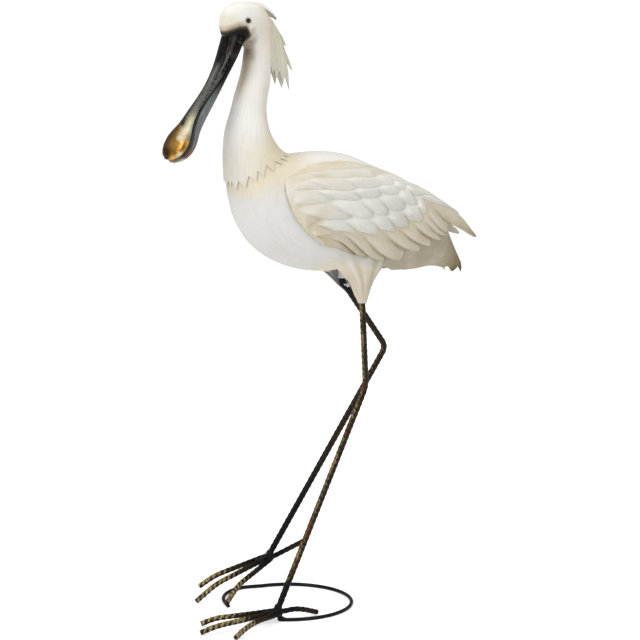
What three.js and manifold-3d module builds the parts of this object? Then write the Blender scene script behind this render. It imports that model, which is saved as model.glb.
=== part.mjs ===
// Standing spoonbill garden statue in painted sheet metal, on legs and toes of
// ribbed bar, with an open wire ring as its foot. Millimetres, +Z up.
//
// While it is built the bird looks along -Y, its left side is +X and the
// ground is Z = 0. The last lines move the origin to the middle of the footprint.
import * as THREE from 'three';
import { mergeVertices } from 'three/addons/utils/BufferGeometryUtils.js';
import Module from 'manifold-3d';

const wasm = await Module();
wasm.setup();

// Sheet, bar and wire sizes
const SHEET = 1.0;
const SEAM_HALF_GAP = 0.16;
const LEG_RADIUS = 4.95;
const TOE_RADIUS = 4.1;
const RING_WIRE_RADIUS = 2.8;
const BAR_SIDES = 8;
const TINY_EDGE = 0.02;

// The form from crown to tail is a fan of cross sections. Each row holds the
// section's back point (Y, Z), its front or belly point (Y, Z) and its half width.
const SECTIONS = [
  [-53.0, 894.5, -80.0, 894.5, 10.0],
  [-37.3, 888.8, -94.1, 888.8, 17.5],
  [-30.9, 880.3, -101.5, 880.3, 21.5],
  [-26.8, 871.7, -104.6, 871.7, 24.0],
  [-25.0, 863.2, -106.0, 863.2, 25.0],
  [-24.6, 854.6, -105.2, 854.6, 25.0],
  [-24.6, 847.4, -101.3, 846.5, 24.5],
  [-24.6, 839.8, -83.7, 839.8, 22.5],
  [-24.7, 830.9, -67.2, 830.9, 20.6],
  [-24.8, 819.4, -65.0, 819.4, 20.0],
  [-25.3, 793.6, -67.9, 793.6, 22.3],
  [-27.4, 776.5, -72.9, 776.5, 24.2],
  [-31.3, 759.5, -79.1, 759.5, 25.0],
  [-34.0, 742.5, -83.8, 742.5, 26.2],
  [-34.2, 725.3, -88.2, 725.3, 28.4],
  [-31.0, 708.0, -92.2, 707.0, 31.8],
  [-21.6, 691.5, -94.2, 682.0, 36.5],
  [-7.5, 677.0, -92.2, 654.0, 43.5],
  [12.5, 670.8, -85.0, 614.0, 54.0],
  [39.5, 671.8, -73.0, 575.5, 61.5],
  [75.3, 671.0, -48.5, 539.8, 65.5],
  [111.4, 664.0, -10.8, 513.8, 67.0],
  [157.1, 645.5, 35.7, 498.0, 66.0],
  [203.5, 626.2, 93.5, 492.2, 62.0],
  [248.0, 600.0, 157.8, 486.3, 54.0],
  [278.0, 571.0, 222.0, 481.2, 41.0],
  [297.0, 536.0, 266.0, 483.0, 28.0],
  [312.0, 508.0, 296.0, 476.0, 19.0],
  [329.0, 480.0, 316.0, 459.0, 13.0],
];
const SECTION_ROUNDNESS = 0.9;

// Where the sheet pieces start and end along the fan, in section numbers
const STUMP_AT = 15.9;
const COLLAR_STATIONS = [15.9, 16.4, 16.8, 17.2, 17.6, 18.2];
const BODY_END_AT = 27.9;
const COLLAR_RISE_FROM = 12.8;
const COLLAR_RISE_TO = 14.8;
const COLLAR_STANDS_OFF = 2.4;

// The wings follow the body as far as the haunch, then run past the tail
const WING_FAN_FROM = 16;
const WING_FAN_BODY_ROWS = 8;
const WING_FAN_REAR = [
  [251.0, 606.0, 157.8, 488.0, 60.0],
  [288.0, 581.0, 215.0, 482.0, 53.0],
  [320.0, 552.0, 262.0, 478.0, 43.0],
  [347.0, 525.5, 300.0, 470.0, 29.0],
  [366.0, 504.0, 330.0, 462.0, 18.0],
];
const WING_CLEARANCE = 1.7;
const WING_TUCK = 0.45;

// Feather roots along the wing's front and top edges, and the feather tips, (Y, Z)
const WING_ROOTS = [
  [34, 540.5], [12, 554.5], [-10, 574], [-27, 600], [-34.6, 629], [-28, 648],
  [-2, 663], [60, 665.5], [124, 653], [200, 622.5], [290, 571],
];
const WING_TIPS = [
  [84.2, 526], [104.6, 519.9], [134.9, 512.7], [165.4, 509.9], [200.1, 519.9],
  [223.5, 525.2], [244, 531.8], [263.6, 536.3], [288, 534.9], [335.7, 522.7],
];
const FEATHER_NOTCH = [12, 17, 23, 24, 22, 22, 20, 19, 21, 28];
const COLUMNS_PER_FEATHER = 4;
const FLOW_BEND = 0.055;
const COVERT_ROWS = [
  [0.03, 0.03, 0.03, 0.05, 0.15, 0.24, 0.26, 0.23, 0.15, 0.06, 0.03],
  [0.06, 0.07, 0.1, 0.24, 0.4, 0.46, 0.48, 0.45, 0.37, 0.21, 0.08],
  [0.1, 0.2, 0.36, 0.52, 0.62, 0.67, 0.69, 0.68, 0.61, 0.46, 0.25],
];
const COVERT_SHIFT = [0.5, 0.0, 0.5];
const COVERT_SCALLOP = 8;
const FEATHER_LIFT = 1.5;

// Thighs: [Z, half depth in X, half length in Y] down to the tip
const THIGH_X = 42;
const THIGH_SIDES = 12;
const THIGH_Y = 112.5;
const THIGH_TOP_Z = 508;
const THIGH_LEAN = { left: 0.0, right: 0.66 };
const THIGH_PROFILE = [
  [560, 12, 38], [530, 13.5, 52], [508, 15.5, 47], [495, 15.5, 35],
  [481, 14, 21.6], [469, 12.4, 16.2], [456, 10.4, 12.8], [448, 8.8, 10.4], [446, 8, 9.6],
];
const BELLY_OPENING = { y: 128, halfWidth: 34, halfLength: 64, bottom: 457, top: 532 };

// Tail: a saw-tooth cut in side view, (Y, Z)
const TAIL_CUT = [
  [360, 560], [296.5, 527], [309.5, 509], [321.5, 485], [320.5, 469.5], [312, 479.5],
  [306, 471], [296, 480.5], [290, 480], [288, 440], [360, 440],
];

// Legs, palms and toes, as centre lines (X, Y, Z)
const SOCKET_RADIUS = 6.4;
const SOCKET_BORE = 5.6;
const LEG_PATHS = {
  left: [[42, 113, 530], [42, 113, 452], [46, 117.3, 321.5], [80.6, -63.4, 20]],
  right: [[-42, 136.2, 530], [-42, 136.2, 466.5], [-46, 221.5, 355.7], [-63, 20, 59]],
};
const PALM_Z = { left: 17.6, right: 55.6 };
const HIP_ROUND = 4.5;
const KNEE_ROUND = 12;
const SOCKET_MOUTH_Z = { left: 470, right: 471 };
const TOE_PATHS = {
  toe_inner_left: [[73.6, -67.5, 12.6], [71.5, -112, 14], [56, -157, 12.2], [45.3, -176, 4.2]],
  toe_middle_left: [[82.4, -67.5, 12.6], [91, -127, 13.8], [89.5, -175, 12], [82.5, -200.5, 4.2]],
  toe_outer_left: [[91.2, -67.5, 12.6], [108, -121, 13.6], [120, -147, 11.2], [131.5, -172.5, 4.2]],
  toe_hind_left: [[83.4, -64.6, 12.4], [91, -42, 15.4], [95, -28, 13], [92.5, -4, 4.3]],
  toe_outer_right: [[-71.6, 14, 49.9], [-94.5, -61.7, 26.4], [-108, -81, 9.4]],
  toe_middle_right: [[-62.8, 14, 49.9], [-62, -80, 23.8], [-57.5, -118, 4.4]],
  toe_inner_right: [[-54, 14, 49.9], [-36.5, -58, 23.6], [-16.2, -88, 12]],
  toe_hind_right: [[-62, 18.4, 48.9], [-49.5, 72, 70.5]],
};

// Open wire ring under the feet
const RING_CENTRE = [17.5, -4.5];
const RING_RADIUS = 95;
const RING_FROM_DEG = -42;
const RING_TO_DEG = 250;
const RING_STEPS = 36;
const RING_HOOK = { outDeg: 168, fullDeg: 192, backDeg: 206, homeDeg: 250, rise: 9.5, end: -4 };
const RING_STUB_TOP = 8.2;

// Bill: distance along the axis, rise of the dividing plane, half width and
// height of the upper plate, half width and depth of the lower plate, the gape
const BILL_ROOT = [-74.9, 846.5];
const BILL_PITCH_DEG = 56.9;
const BILL_ROWS = [
  [2, -2, 24, 17, 20, 11, 0.5],
  [20, -1.5, 23, 16, 18.5, 10, 0.5],
  [38, 0, 19.5, 13.4, 16.5, 10, 0.6],
  [61.5, 1, 15.5, 9.9, 15, 10.8, 0.8],
  [85, 2.3, 13, 7.3, 14, 12.6, 1.5],
  [105.5, 5, 12, 5.8, 14, 14.8, 2.5],
  [127.5, 8, 12.5, 5.2, 15.5, 16, 4],
  [149.5, 8.2, 16.5, 7.4, 19.5, 14.5, 5.5],
  [171.5, 6.4, 24.5, 13.4, 27, 12, 6.5],
  [185, 5.8, 26.7, 13.8, 28, 10, 6.8],
  [196, 6.3, 23.5, 11, 24.5, 7.5, 6.8],
  [203, 7.2, 17.5, 7.6, 18.5, 5, 6.6],
  [208, 8, 8, 3.8, 8, 3, 6.3],
];
const BILL_RIDGE = 1.2;

// Crest plates cut from sheet, outlines in side view (Y, Z)
const CREST_SIDE = [
  [-27.5, 872], [-20, 866], [-12, 855.5], [-2.5, 838], [2.2, 818.5], [3.2, 806], [5.5, 790],
  [6.5, 764.5], [-1.5, 781], [-3.5, 770], [-9, 791], [-13.5, 779], [-17.5, 792], [-21.8, 781],
  [-23.5, 800], [-22.5, 830], [-22, 850],
];
const CREST_MIDDLE = [
  [-22.5, 868], [-9.5, 855.5], [0.5, 840.5], [7.4, 827.6], [3, 830.5], [5.5, 820], [12, 807.5],
  [17, 791.5], [3, 805], [-4, 802], [-12, 806], [-21.5, 812], [-22.3, 840],
];
const CREST_SIDE_X = 3.2;
const CREST_SPLAY = 0.16;
const CREST_TOP_ROWS = [[-46.2, 893.9, 8.6], [-37, 890.8, 12], [-26, 882.8, 11.5], [-17, 873.5, 8], [-11.5, 866.5, 1.6]];

const EYE = { x: 24.6, y: -74.5, z: 869.6, radius: 3.9 };
const CLAMP_SCREW = { radius: 2.9, length: 9, drop: 4.5 };

// Paints and patina
const PAINT_WHITE = new THREE.MeshStandardMaterial({ color: '#ece9e1', roughness: 0.6, metalness: 0.0 });
const PAINT_WING = new THREE.MeshStandardMaterial({ color: '#dcdacf', roughness: 0.62, metalness: 0.0 });
const PAINT_BILL = new THREE.MeshStandardMaterial({ color: '#3b3a39', roughness: 0.42, metalness: 0.25 });
const PAINT_BILL_LOWER = new THREE.MeshStandardMaterial({ color: '#5d6063', roughness: 0.5, metalness: 0.2 });
const EYE_BLACK = new THREE.MeshStandardMaterial({ color: '#0d0c0b', roughness: 0.15, metalness: 0.0 });
const BAR_BRONZE = new THREE.MeshStandardMaterial({ color: '#6b5227', roughness: 0.5, metalness: 0.6 });
const WIRE_BLACK = new THREE.MeshStandardMaterial({ color: '#16171a', roughness: 0.45, metalness: 0.4 });

// Small helpers
const lerp = (a, b, t) => a + (b - a) * t;
const clamp = (value, low, high) => Math.min(high, Math.max(low, value));
const smooth = (low, high, value) => {
  const t = clamp((value - low) / (high - low), 0, 1);
  return t * t * (3 - 2 * t);
};

// A row of numbers read between the rows of a table, on a smooth curve
function readTable(rows, position) {
  const last = rows.length - 1;
  const at = clamp(position, 0, last);
  const i = Math.min(Math.floor(at), last - 1);
  const t = at - i;
  const before = rows[Math.max(i - 1, 0)];
  const after = rows[Math.min(i + 2, last)];
  return rows[i].map((p1, k) => {
    const p2 = rows[i + 1][k];
    const m1 = (p2 - before[k]) / 2;
    const m2 = (after[k] - p1) / 2;
    const t2 = t * t;
    const t3 = t2 * t;
    return (2 * t3 - 3 * t2 + 1) * p1 + (t3 - 2 * t2 + t) * m1 + (3 * t2 - 2 * t3) * p2 + (t3 - t2) * m2;
  });
}

// The same for a table whose first number is the position
function readByFirst(rows, value) {
  let i = 0;
  while (i < rows.length - 2 && value > rows[i + 1][0]) i += 1;
  const t = (value - rows[i][0]) / (rows[i + 1][0] - rows[i][0]);
  return readTable(rows, i + clamp(t, 0, 1));
}

function solidFromLists(points, triangles) {
  const geometry = new THREE.BufferGeometry();
  geometry.setAttribute('position', new THREE.Float32BufferAttribute(points.flatMap((p) => [p.x, p.y, p.z]), 3));
  geometry.setIndex(triangles.flat());
  return geometry;
}

function toManifold(geometry) {
  const plain = geometry.clone();
  for (const name of Object.keys(plain.attributes)) {
    if (name !== 'position') plain.deleteAttribute(name);
  }
  const merged = mergeVertices(plain, 1e-4);
  return new wasm.Manifold(new wasm.Mesh({
    numProp: 3,
    vertProperties: new Float32Array(merged.attributes.position.array),
    triVerts: new Uint32Array(merged.index.array),
  }));
}

function fromManifold(solid) {
  const mesh = solid.simplify(TINY_EDGE).getMesh();
  const geometry = new THREE.BufferGeometry();
  const points = new Float32Array((mesh.vertProperties.length / mesh.numProp) * 3);
  for (let i = 0; i < points.length / 3; i += 1) {
    for (let k = 0; k < 3; k += 1) points[i * 3 + k] = mesh.vertProperties[i * mesh.numProp + k];
  }
  geometry.setAttribute('position', new THREE.BufferAttribute(points, 3));
  geometry.setIndex(Array.from(mesh.triVerts));
  return geometry;
}

// Only the biggest body is kept when a cut leaves crumbs
function biggestBody(solid) {
  return solid.decompose().reduce((best, body) => (body.volume() > best.volume() ? body : best));
}

// Closed rings of equal length, joined one after the other and capped
function loft(rings, flip = false) {
  const count = rings[0].length;
  const points = rings.flat();
  const triangles = [];
  for (let i = 0; i + 1 < rings.length; i += 1) {
    for (let k = 0; k < count; k += 1) {
      const a = i * count + k;
      const b = i * count + ((k + 1) % count);
      triangles.push([a, b, b + count], [a, b + count, a + count]);
    }
  }
  const lastRing = (rings.length - 1) * count;
  for (let k = 1; k + 1 < count; k += 1) {
    triangles.push([0, k + 1, k], [lastRing, lastRing + k, lastRing + k + 1]);
  }
  if (flip) triangles.forEach((t) => t.reverse());
  return solidFromLists(points, triangles);
}

// Turns a closed mesh inside out if its volume comes out negative
function facingOut(geometry) {
  const p = geometry.attributes.position.array;
  const index = geometry.index.array;
  let volume = 0;
  for (let i = 0; i < index.length; i += 3) {
    const [a, b, c] = [index[i] * 3, index[i + 1] * 3, index[i + 2] * 3];
    volume += p[a] * (p[b + 1] * p[c + 2] - p[b + 2] * p[c + 1])
      + p[a + 1] * (p[b + 2] * p[c] - p[b] * p[c + 2])
      + p[a + 2] * (p[b] * p[c + 1] - p[b + 1] * p[c]);
  }
  if (volume < 0) {
    const turned = Array.from(index);
    for (let i = 0; i < turned.length; i += 3) [turned[i], turned[i + 1]] = [turned[i + 1], turned[i]];
    geometry.setIndex(turned);
  }
  return geometry;
}

// The bird's outer form
function fanPoint(rows, u, phi) {
  const [ty, tz, by, bz, width] = readTable(rows, u);
  const c = Math.cos(phi);
  const s = Math.sin(phi);
  return new THREE.Vector3(
    width * Math.sign(s) * Math.abs(s) ** SECTION_ROUNDNESS,
    (ty + by) / 2 + ((ty - by) / 2) * c,
    (tz + bz) / 2 + ((tz - bz) / 2) * c,
  );
}

function fanNormal(rows, u, phi) {
  const step = 0.02;
  const along = fanPoint(rows, u + step, phi).sub(fanPoint(rows, u - step, phi));
  const round = fanPoint(rows, u, phi + step).sub(fanPoint(rows, u, phi - step));
  return round.cross(along).normalize();
}

function fanOffset(u, phi, distance) {
  const near = clamp(phi, 0.03, Math.PI - 0.03);
  const edge = Math.abs(Math.sin(phi)) < 0.03;
  const normal = fanNormal(SECTIONS, clamp(u, 0.05, SECTIONS.length - 1.05), edge ? near : phi);
  if (edge) normal.x = 0;
  return fanPoint(SECTIONS, u, phi).addScaledVector(normal.normalize(), distance);
}

function sampleList(from, to, count) {
  return Array.from({ length: count + 1 }, (_, i) => lerp(from, to, i / count));
}

// One side of the body as a solid between the mid plane and an offset of the form
function bodySideSolid(offset, planeX, columns, us) {
  const rings = us.map((u) => {
    const ring = [];
    for (let k = 0; k <= columns; k += 1) {
      const p = fanOffset(u, (Math.PI * k) / columns, offset);
      p.x = k === 0 || k === columns ? planeX : Math.max(p.x, planeX + 0.4);
      ring.push(p);
    }
    return ring;
  });
  return toManifold(facingOut(loft(rings)));
}

function thighSolid(side, inset, reach) {
  const lean = THIGH_LEAN[side];
  const rows = THIGH_PROFILE.map((row) => [...row]);
  const [z, ax, ay] = rows[rows.length - 1];
  if (reach) rows.push([z - reach, ax, ay]);
  const rings = rows.map(([height, halfX, halfY]) => {
    const ring = [];
    const centre = THIGH_Y + lean * Math.max(0, THIGH_TOP_Z - height);
    for (let k = 0; k < THIGH_SIDES; k += 1) {
      const a = (2 * Math.PI * k) / THIGH_SIDES;
      ring.push(new THREE.Vector3(
        THIGH_X + (halfX - inset) * Math.cos(a),
        centre + (halfY - inset) * Math.sin(a),
        height,
      ));
    }
    return ring;
  });
  return toManifold(facingOut(loft(rings)));
}

// A prism across X over an outline in side view
function sidePrism(outline, x0, x1) {
  const shape = new THREE.Shape(outline.map(([y, z]) => new THREE.Vector2(y, z)));
  const geometry = new THREE.ExtrudeGeometry(shape, { depth: x1 - x0, bevelEnabled: false });
  geometry.applyMatrix4(new THREE.Matrix4().set(0, 0, 1, x0, 1, 0, 0, 0, 0, 1, 0, 0, 0, 0, 0, 1));
  return toManifold(geometry);
}

function bellyCutter() {
  const { y, halfWidth, halfLength, bottom, top } = BELLY_OPENING;
  const shape = new THREE.Shape();
  shape.absellipse(0, y, halfWidth, halfLength, 0, 2 * Math.PI);
  const geometry = new THREE.ExtrudeGeometry(shape, { depth: top - bottom, bevelEnabled: false, curveSegments: 14 });
  geometry.translate(0, 0, bottom);
  return toManifold(geometry);
}

function bodyHalf(side) {
  const us = [...COLLAR_STATIONS, ...sampleList(18.9, 24.9, 7), ...sampleList(25.6, BODY_END_AT, 3)];
  const inner = [STUMP_AT - 0.6, ...us.slice(1)];
  const skin = bodySideSolid(0, SEAM_HALF_GAP, 10, us).add(thighSolid(side, 0, 0));
  const hollow = bodySideSolid(-SHEET, -6, 10, inner).add(thighSolid(side, SHEET, 6));
  const half = skin
    .subtract(hollow)
    .subtract(bellyCutter())
    .subtract(sidePrism(TAIL_CUT, -40, 60));
  return biggestBody(half);
}

// The wing surface as X over (Y, Z)
const WING_FAN = [
  ...SECTIONS.slice(WING_FAN_FROM, WING_FAN_FROM + WING_FAN_BODY_ROWS),
  ...WING_FAN_REAR,
];

function wingX(y, z) {
  let low = 0;
  let high = WING_FAN.length - 1;
  for (let i = 0; i < 30; i += 1) {
    const middle = (low + high) / 2;
    const [ty, tz, by, bz] = readTable(WING_FAN, middle);
    const side = (by - ty) * (z - tz) - (bz - tz) * (y - ty);
    if (side > 0) low = middle;
    else high = middle;
  }
  const [ty, tz, by, bz, width] = readTable(WING_FAN, (low + high) / 2);
  const hy = (ty - by) / 2;
  const hz = (tz - bz) / 2;
  const c = clamp(((y - (ty + by) / 2) * hy + (z - (tz + bz) / 2) * hz) / (hy * hy + hz * hz), -0.995, 0.995);
  const round = Math.sqrt(1 - c * c) ** SECTION_ROUNDNESS;
  return width * (c < 0 ? 1 - WING_TUCK * (1 - round) : round);
}

function wingPoint(y, z, height) {
  const step = 1.5;
  const slopeY = (wingX(y + step, z) - wingX(y - step, z)) / (2 * step);
  const slopeZ = (wingX(y, z + step) - wingX(y, z - step)) / (2 * step);
  const normal = new THREE.Vector3(1, -clamp(slopeY, -3, 3), -clamp(slopeZ, -3, 3)).normalize();
  return new THREE.Vector3(wingX(y, z), y, z).addScaledVector(normal, WING_CLEARANCE + height);
}

// Feather flow line number a (0 to the number of feathers), t from root to tip
function wingFlow(a, t) {
  const count = WING_TIPS.length;
  const [ry, rz] = readTable(WING_ROOTS, (a / count) * (WING_ROOTS.length - 1));
  const first = WING_TIPS[0];
  const last = WING_TIPS[count - 1];
  const tips = [[first[0] - 16, first[1] + 5], ...WING_TIPS, [last[0] + 4, last[1] + 5]];
  const [ey, ez] = readTable(tips, a < 0.5 ? a * 2 : a > count - 0.5 ? count + (a - count + 0.5) * 2 : a + 0.5);
  const bend = FLOW_BEND * 4 * t * (1 - t) * (1 - 0.6 * smooth(7, 10, a));
  return [
    lerp(ry, ey, t) + bend * (rz - ez),
    lerp(rz, ez, t) + bend * (ey - ry),
    Math.hypot(ey - ry, ez - rz),
  ];
}

function featherEdge(a) {
  const count = WING_TIPS.length;
  const number = Math.min(Math.floor(a), count - 1);
  const s = Math.abs(2 * (a - number) - 1);
  const depth = FEATHER_NOTCH[number] * (0.45 * s + 0.55 * s * s);
  return 1 - depth / wingFlow(a, 1)[2];
}

// Where a row of small feathers ends on flow line a, and how far it stands up there
function covertEdge(row, a) {
  const [here, above] = [row, row - 1].map((i) => (i < 0 ? 0 : readTable(COVERT_ROWS[i].map((t) => [t]), a)[0]));
  const room = here - above;
  const local = a + COVERT_SHIFT[row];
  const s = Math.abs(2 * (local - Math.floor(local)) - 1);
  const length = wingFlow(a, 1)[2];
  return [here - Math.min(COVERT_SCALLOP / length, room * 0.5) * s * s, FEATHER_LIFT * smooth(0.04, 0.14, room)];
}

function wingGeometry(mirror) {
  const columns = WING_TIPS.length * COLUMNS_PER_FEATHER;
  const points = [];
  const outer = [];
  const back = [];
  const put = (a, t, height) => {
    const [y, z] = wingFlow(a, t);
    points.push(wingPoint(y, z, height));
    return points.length - 1;
  };
  const steps = [0, 1, 2, 2, 3, 3, 4, 4, 5];
  const last = steps.length - 1;
  for (let j = 0; j <= columns; j += 1) {
    const a = j / COLUMNS_PER_FEATHER;
    const [[rowA, liftA], [rowB, liftB], [rowC, liftC]] = [0, 1, 2].map((row) => covertEdge(row, a));
    const edge = featherEdge(a);
    const under = 1.2 / wingFlow(a, 1)[2];
    outer.push([
      put(a, 0, SHEET),
      put(a, rowA * 0.5, SHEET + liftA * 0.5),
      put(a, rowA, SHEET + liftA),
      put(a, rowA + under, SHEET),
      put(a, rowB, SHEET + liftB),
      put(a, rowB + under, SHEET),
      put(a, rowC, SHEET + liftC),
      put(a, rowC + under, SHEET),
      put(a, edge, SHEET + 0.6),
    ]);
    back.push([0, rowA * 0.5, rowA, rowB, rowC, edge].map((t) => put(a, t, 0)));
  }
  const triangles = [];
  const quad = (a, b, c, d) => triangles.push([a, b, c], [a, c, d]);
  for (let j = 0; j < columns; j += 1) {
    for (let k = 0; k + 1 < outer[0].length; k += 1) {
      quad(outer[j][k], outer[j][k + 1], outer[j + 1][k + 1], outer[j + 1][k]);
    }
    for (let k = 0; k + 1 < back[0].length; k += 1) {
      quad(back[j][k], back[j + 1][k], back[j + 1][k + 1], back[j][k + 1]);
    }
    quad(outer[j][0], outer[j + 1][0], back[j + 1][0], back[j][0]);
    quad(outer[j][last], back[j][steps[last]], back[j + 1][steps[last]], outer[j + 1][last]);
  }
  for (const [j, turn] of [[0, false], [columns, true]]) {
    for (let k = 0; k < last; k += 1) {
      const [from, to] = [steps[k], steps[k + 1]];
      const faces = [[outer[j][k], back[j][to], outer[j][k + 1]]];
      if (from !== to) faces.push([outer[j][k], back[j][from], back[j][to]]);
      faces.forEach((face) => triangles.push(turn ? face.reverse() : face));
    }
  }
  if (mirror) points.forEach((p) => { p.x = -p.x; });
  return facingOut(solidFromLists(points, triangles));
}

// Neck and head in one shell, ending below in a cut collar of pointed feathers
const NECK_COLUMNS = 28;
const NECK_ROWS = [0, 0.7, 1.6, 3, 4.6, 6, 7, 8, 9.5, 11, 12.6, 14.2, 15.4, 15.9, 16.4, 16.8];

function collarEdge(column, columns) {
  const round = Math.abs((2 * column) / columns - 1);
  const valley = column % 2 === 1;
  const base = lerp(17.22, 17.12, round);
  return base + (valley ? -0.08 : 0.36 + 0.08 * Math.sin(column * 2.3));
}

function neckGeometry() {
  const columns = NECK_COLUMNS;
  const rows = [...NECK_ROWS, 0];
  const innerRows = [8.6, 12, 14.8, 15.9, 16.4, 16.8, 0];
  const rise = (u) => COLLAR_STANDS_OFF * smooth(COLLAR_RISE_FROM, COLLAR_RISE_TO, u);
  const points = [];
  const ringOf = (u, drop, last) => Array.from({ length: columns }, (_, k) => {
    const at = last ? collarEdge(k, columns) : u;
    points.push(fanOffset(at, (2 * Math.PI * k) / columns, rise(at) - drop));
    return points.length - 1;
  });
  const outer = rows.map((u, i) => ringOf(u, 0, i === rows.length - 1));
  const inner = innerRows.map((u, i) => ringOf(u, SHEET, i === innerRows.length - 1));
  const triangles = [];
  const band = (upper, lower, turn) => {
    for (let k = 0; k < columns; k += 1) {
      const n = (k + 1) % columns;
      const faces = [[upper[k], upper[n], lower[n]], [upper[k], lower[n], lower[k]]];
      faces.forEach((face) => triangles.push(turn ? face.reverse() : face));
    }
  };
  for (let i = 0; i + 1 < outer.length; i += 1) band(outer[i], outer[i + 1], false);
  for (let i = 0; i + 1 < inner.length; i += 1) band(inner[i], inner[i + 1], true);
  band(outer[outer.length - 1], inner[inner.length - 1], false);
  for (const [ring, turn] of [[outer[0], true], [inner[0], false]]) {
    for (let k = 1; k + 1 < columns; k += 1) {
      const face = [ring[0], ring[k], ring[k + 1]];
      triangles.push(turn ? face.reverse() : face);
    }
  }
  return facingOut(solidFromLists(points, triangles));
}

// The head as a full solid, a little larger, to trim what sits against it
function headBlock(extra) {
  const rings = NECK_ROWS.slice(0, 11).map((u, row) => (
    Array.from({ length: NECK_COLUMNS }, (_, k) => {
      const p = fanOffset(u, (2 * Math.PI * k) / NECK_COLUMNS, extra);
      if (row === 0) p.z += extra;
      return p;
    })
  ));
  return toManifold(facingOut(loft(rings)));
}

const billAlong = new THREE.Vector3(0, -Math.cos(THREE.MathUtils.degToRad(BILL_PITCH_DEG)), -Math.sin(THREE.MathUtils.degToRad(BILL_PITCH_DEG)));
const billUp = new THREE.Vector3(0, billAlong.z, -billAlong.y);

function billPoint(distance, side, height) {
  return new THREE.Vector3(side, BILL_ROOT[0], BILL_ROOT[1])
    .addScaledVector(billAlong, distance)
    .addScaledVector(billUp, height);
}

function billPlate(upper) {
  const distances = [2, 20, 42, 65, 90, 115, 138, 155, 168, 182, 194, 202, 208];
  const rings = distances.map((distance) => {
    const [, rise, w1, h1, w2, h2, gape] = readByFirst(BILL_ROWS, distance);
    const ring = [];
    const count = 8;
    for (let k = 0; k <= count; k += 1) {
      const a = (Math.PI * k) / count;
      const ridge = BILL_RIDGE * Math.cos(a * 4) * smooth(30, 60, distance) * (1 - smooth(150, 175, distance));
      const dome = Math.sin(a) ** 0.85;
      if (upper) ring.push(billPoint(distance, w1 * Math.cos(a), rise + 0.8 + (h1 - 0.8) * dome + ridge * dome));
      else ring.push(billPoint(distance, w2 * Math.cos(a), rise - gape - 0.8 - (h2 - 0.8) * dome));
    }
    const hollow = upper ? rise : rise - gape;
    const width = upper ? w1 : w2;
    ring.push(billPoint(distance, -width * 0.96, hollow), billPoint(distance, width * 0.96, hollow));
    return ring;
  });
  return biggestBody(toManifold(facingOut(loft(rings))).subtract(headBlock(0.45)));
}

// Crest plates
function crestPlate(outline, side) {
  const shape = new THREE.Shape(outline.map(([y, z]) => new THREE.Vector2(y, z)));
  const geometry = new THREE.ExtrudeGeometry(shape, { depth: SHEET, bevelEnabled: false });
  geometry.applyMatrix4(new THREE.Matrix4().set(0, 0, 1, -SHEET / 2, 1, 0, 0, 0, 0, 1, 0, 0, 0, 0, 0, 1));
  if (side !== 0) {
    const toEdge = new THREE.Matrix4().makeTranslation(CREST_SIDE_X * side, 25, 0);
    const backAgain = new THREE.Matrix4().makeTranslation(0, -25, 0);
    const shear = new THREE.Matrix4().set(1, CREST_SPLAY * side, 0, 0, 0, 1, 0, 0, 0, 0, 1, 0, 0, 0, 0, 1);
    geometry.applyMatrix4(toEdge);
    geometry.applyMatrix4(shear);
    geometry.applyMatrix4(backAgain);
  }
  return biggestBody(toManifold(geometry).subtract(headBlock(0.45)));
}

function crestTop() {
  const rings = CREST_TOP_ROWS.map(([y, z, half]) => {
    const ring = [];
    for (const [side, sign] of [[1, 1], [-1, -1]]) {
      for (const k of [-1, -0.5, 0, 0.5, 1]) {
        const x = half * k * sign;
        const sag = -0.028 * x * x;
        ring.push(new THREE.Vector3(x, y, z + sag + (side > 0 ? 1.2 : 0)));
      }
    }
    return ring;
  });
  return biggestBody(toManifold(facingOut(loft(rings))).subtract(headBlock(0.8)));
}

// A bar bent along straight stretches, with rounded bends
function roundedPath(points, round, first = round) {
  const list = points.map((p) => new THREE.Vector3(...p));
  const path = [list[0]];
  for (let i = 1; i + 1 < list.length; i += 1) {
    const before = list[i - 1].clone().sub(list[i]);
    const after = list[i + 1].clone().sub(list[i]);
    const reach = Math.min(i === 1 ? first : round, before.length() * 0.45, after.length() * 0.45);
    const from = list[i].clone().addScaledVector(before.normalize(), reach);
    const to = list[i].clone().addScaledVector(after.normalize(), reach);
    for (const t of [0.12, 0.88]) {
      path.push(from.clone().multiplyScalar((1 - t) ** 2)
        .addScaledVector(list[i], 2 * t * (1 - t))
        .addScaledVector(to, t * t));
    }
  }
  path.push(list[list.length - 1]);
  return path;
}

function bar(path, radius, sides, turn = 0, cutZ = null) {
  let across = null;
  const rings = path.map((point, i) => {
    const back = i > 0 ? point.clone().sub(path[i - 1]).normalize() : null;
    const ahead = i + 1 < path.length ? path[i + 1].clone().sub(point).normalize() : null;
    const tangent = (back && ahead ? back.clone().add(ahead) : back || ahead).clone().normalize();
    if (!across) {
      const guide = Math.abs(tangent.z) > 0.9 ? new THREE.Vector3(1, 0, 0) : new THREE.Vector3(0, 0, 1);
      across = guide.clone();
    }
    across = across.addScaledVector(tangent, -across.dot(tangent)).normalize();
    const other = tangent.clone().cross(across).normalize();
    return Array.from({ length: sides }, (_, k) => {
      const a = (2 * Math.PI * (k + turn)) / sides;
      const p = point.clone()
        .addScaledVector(across, radius * Math.cos(a))
        .addScaledVector(other, radius * Math.sin(a));
      if (cutZ !== null && i === path.length - 1) p.addScaledVector(tangent, (cutZ - p.z) / tangent.z);
      return p;
    });
  });
  return facingOut(loft(rings));
}

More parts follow.
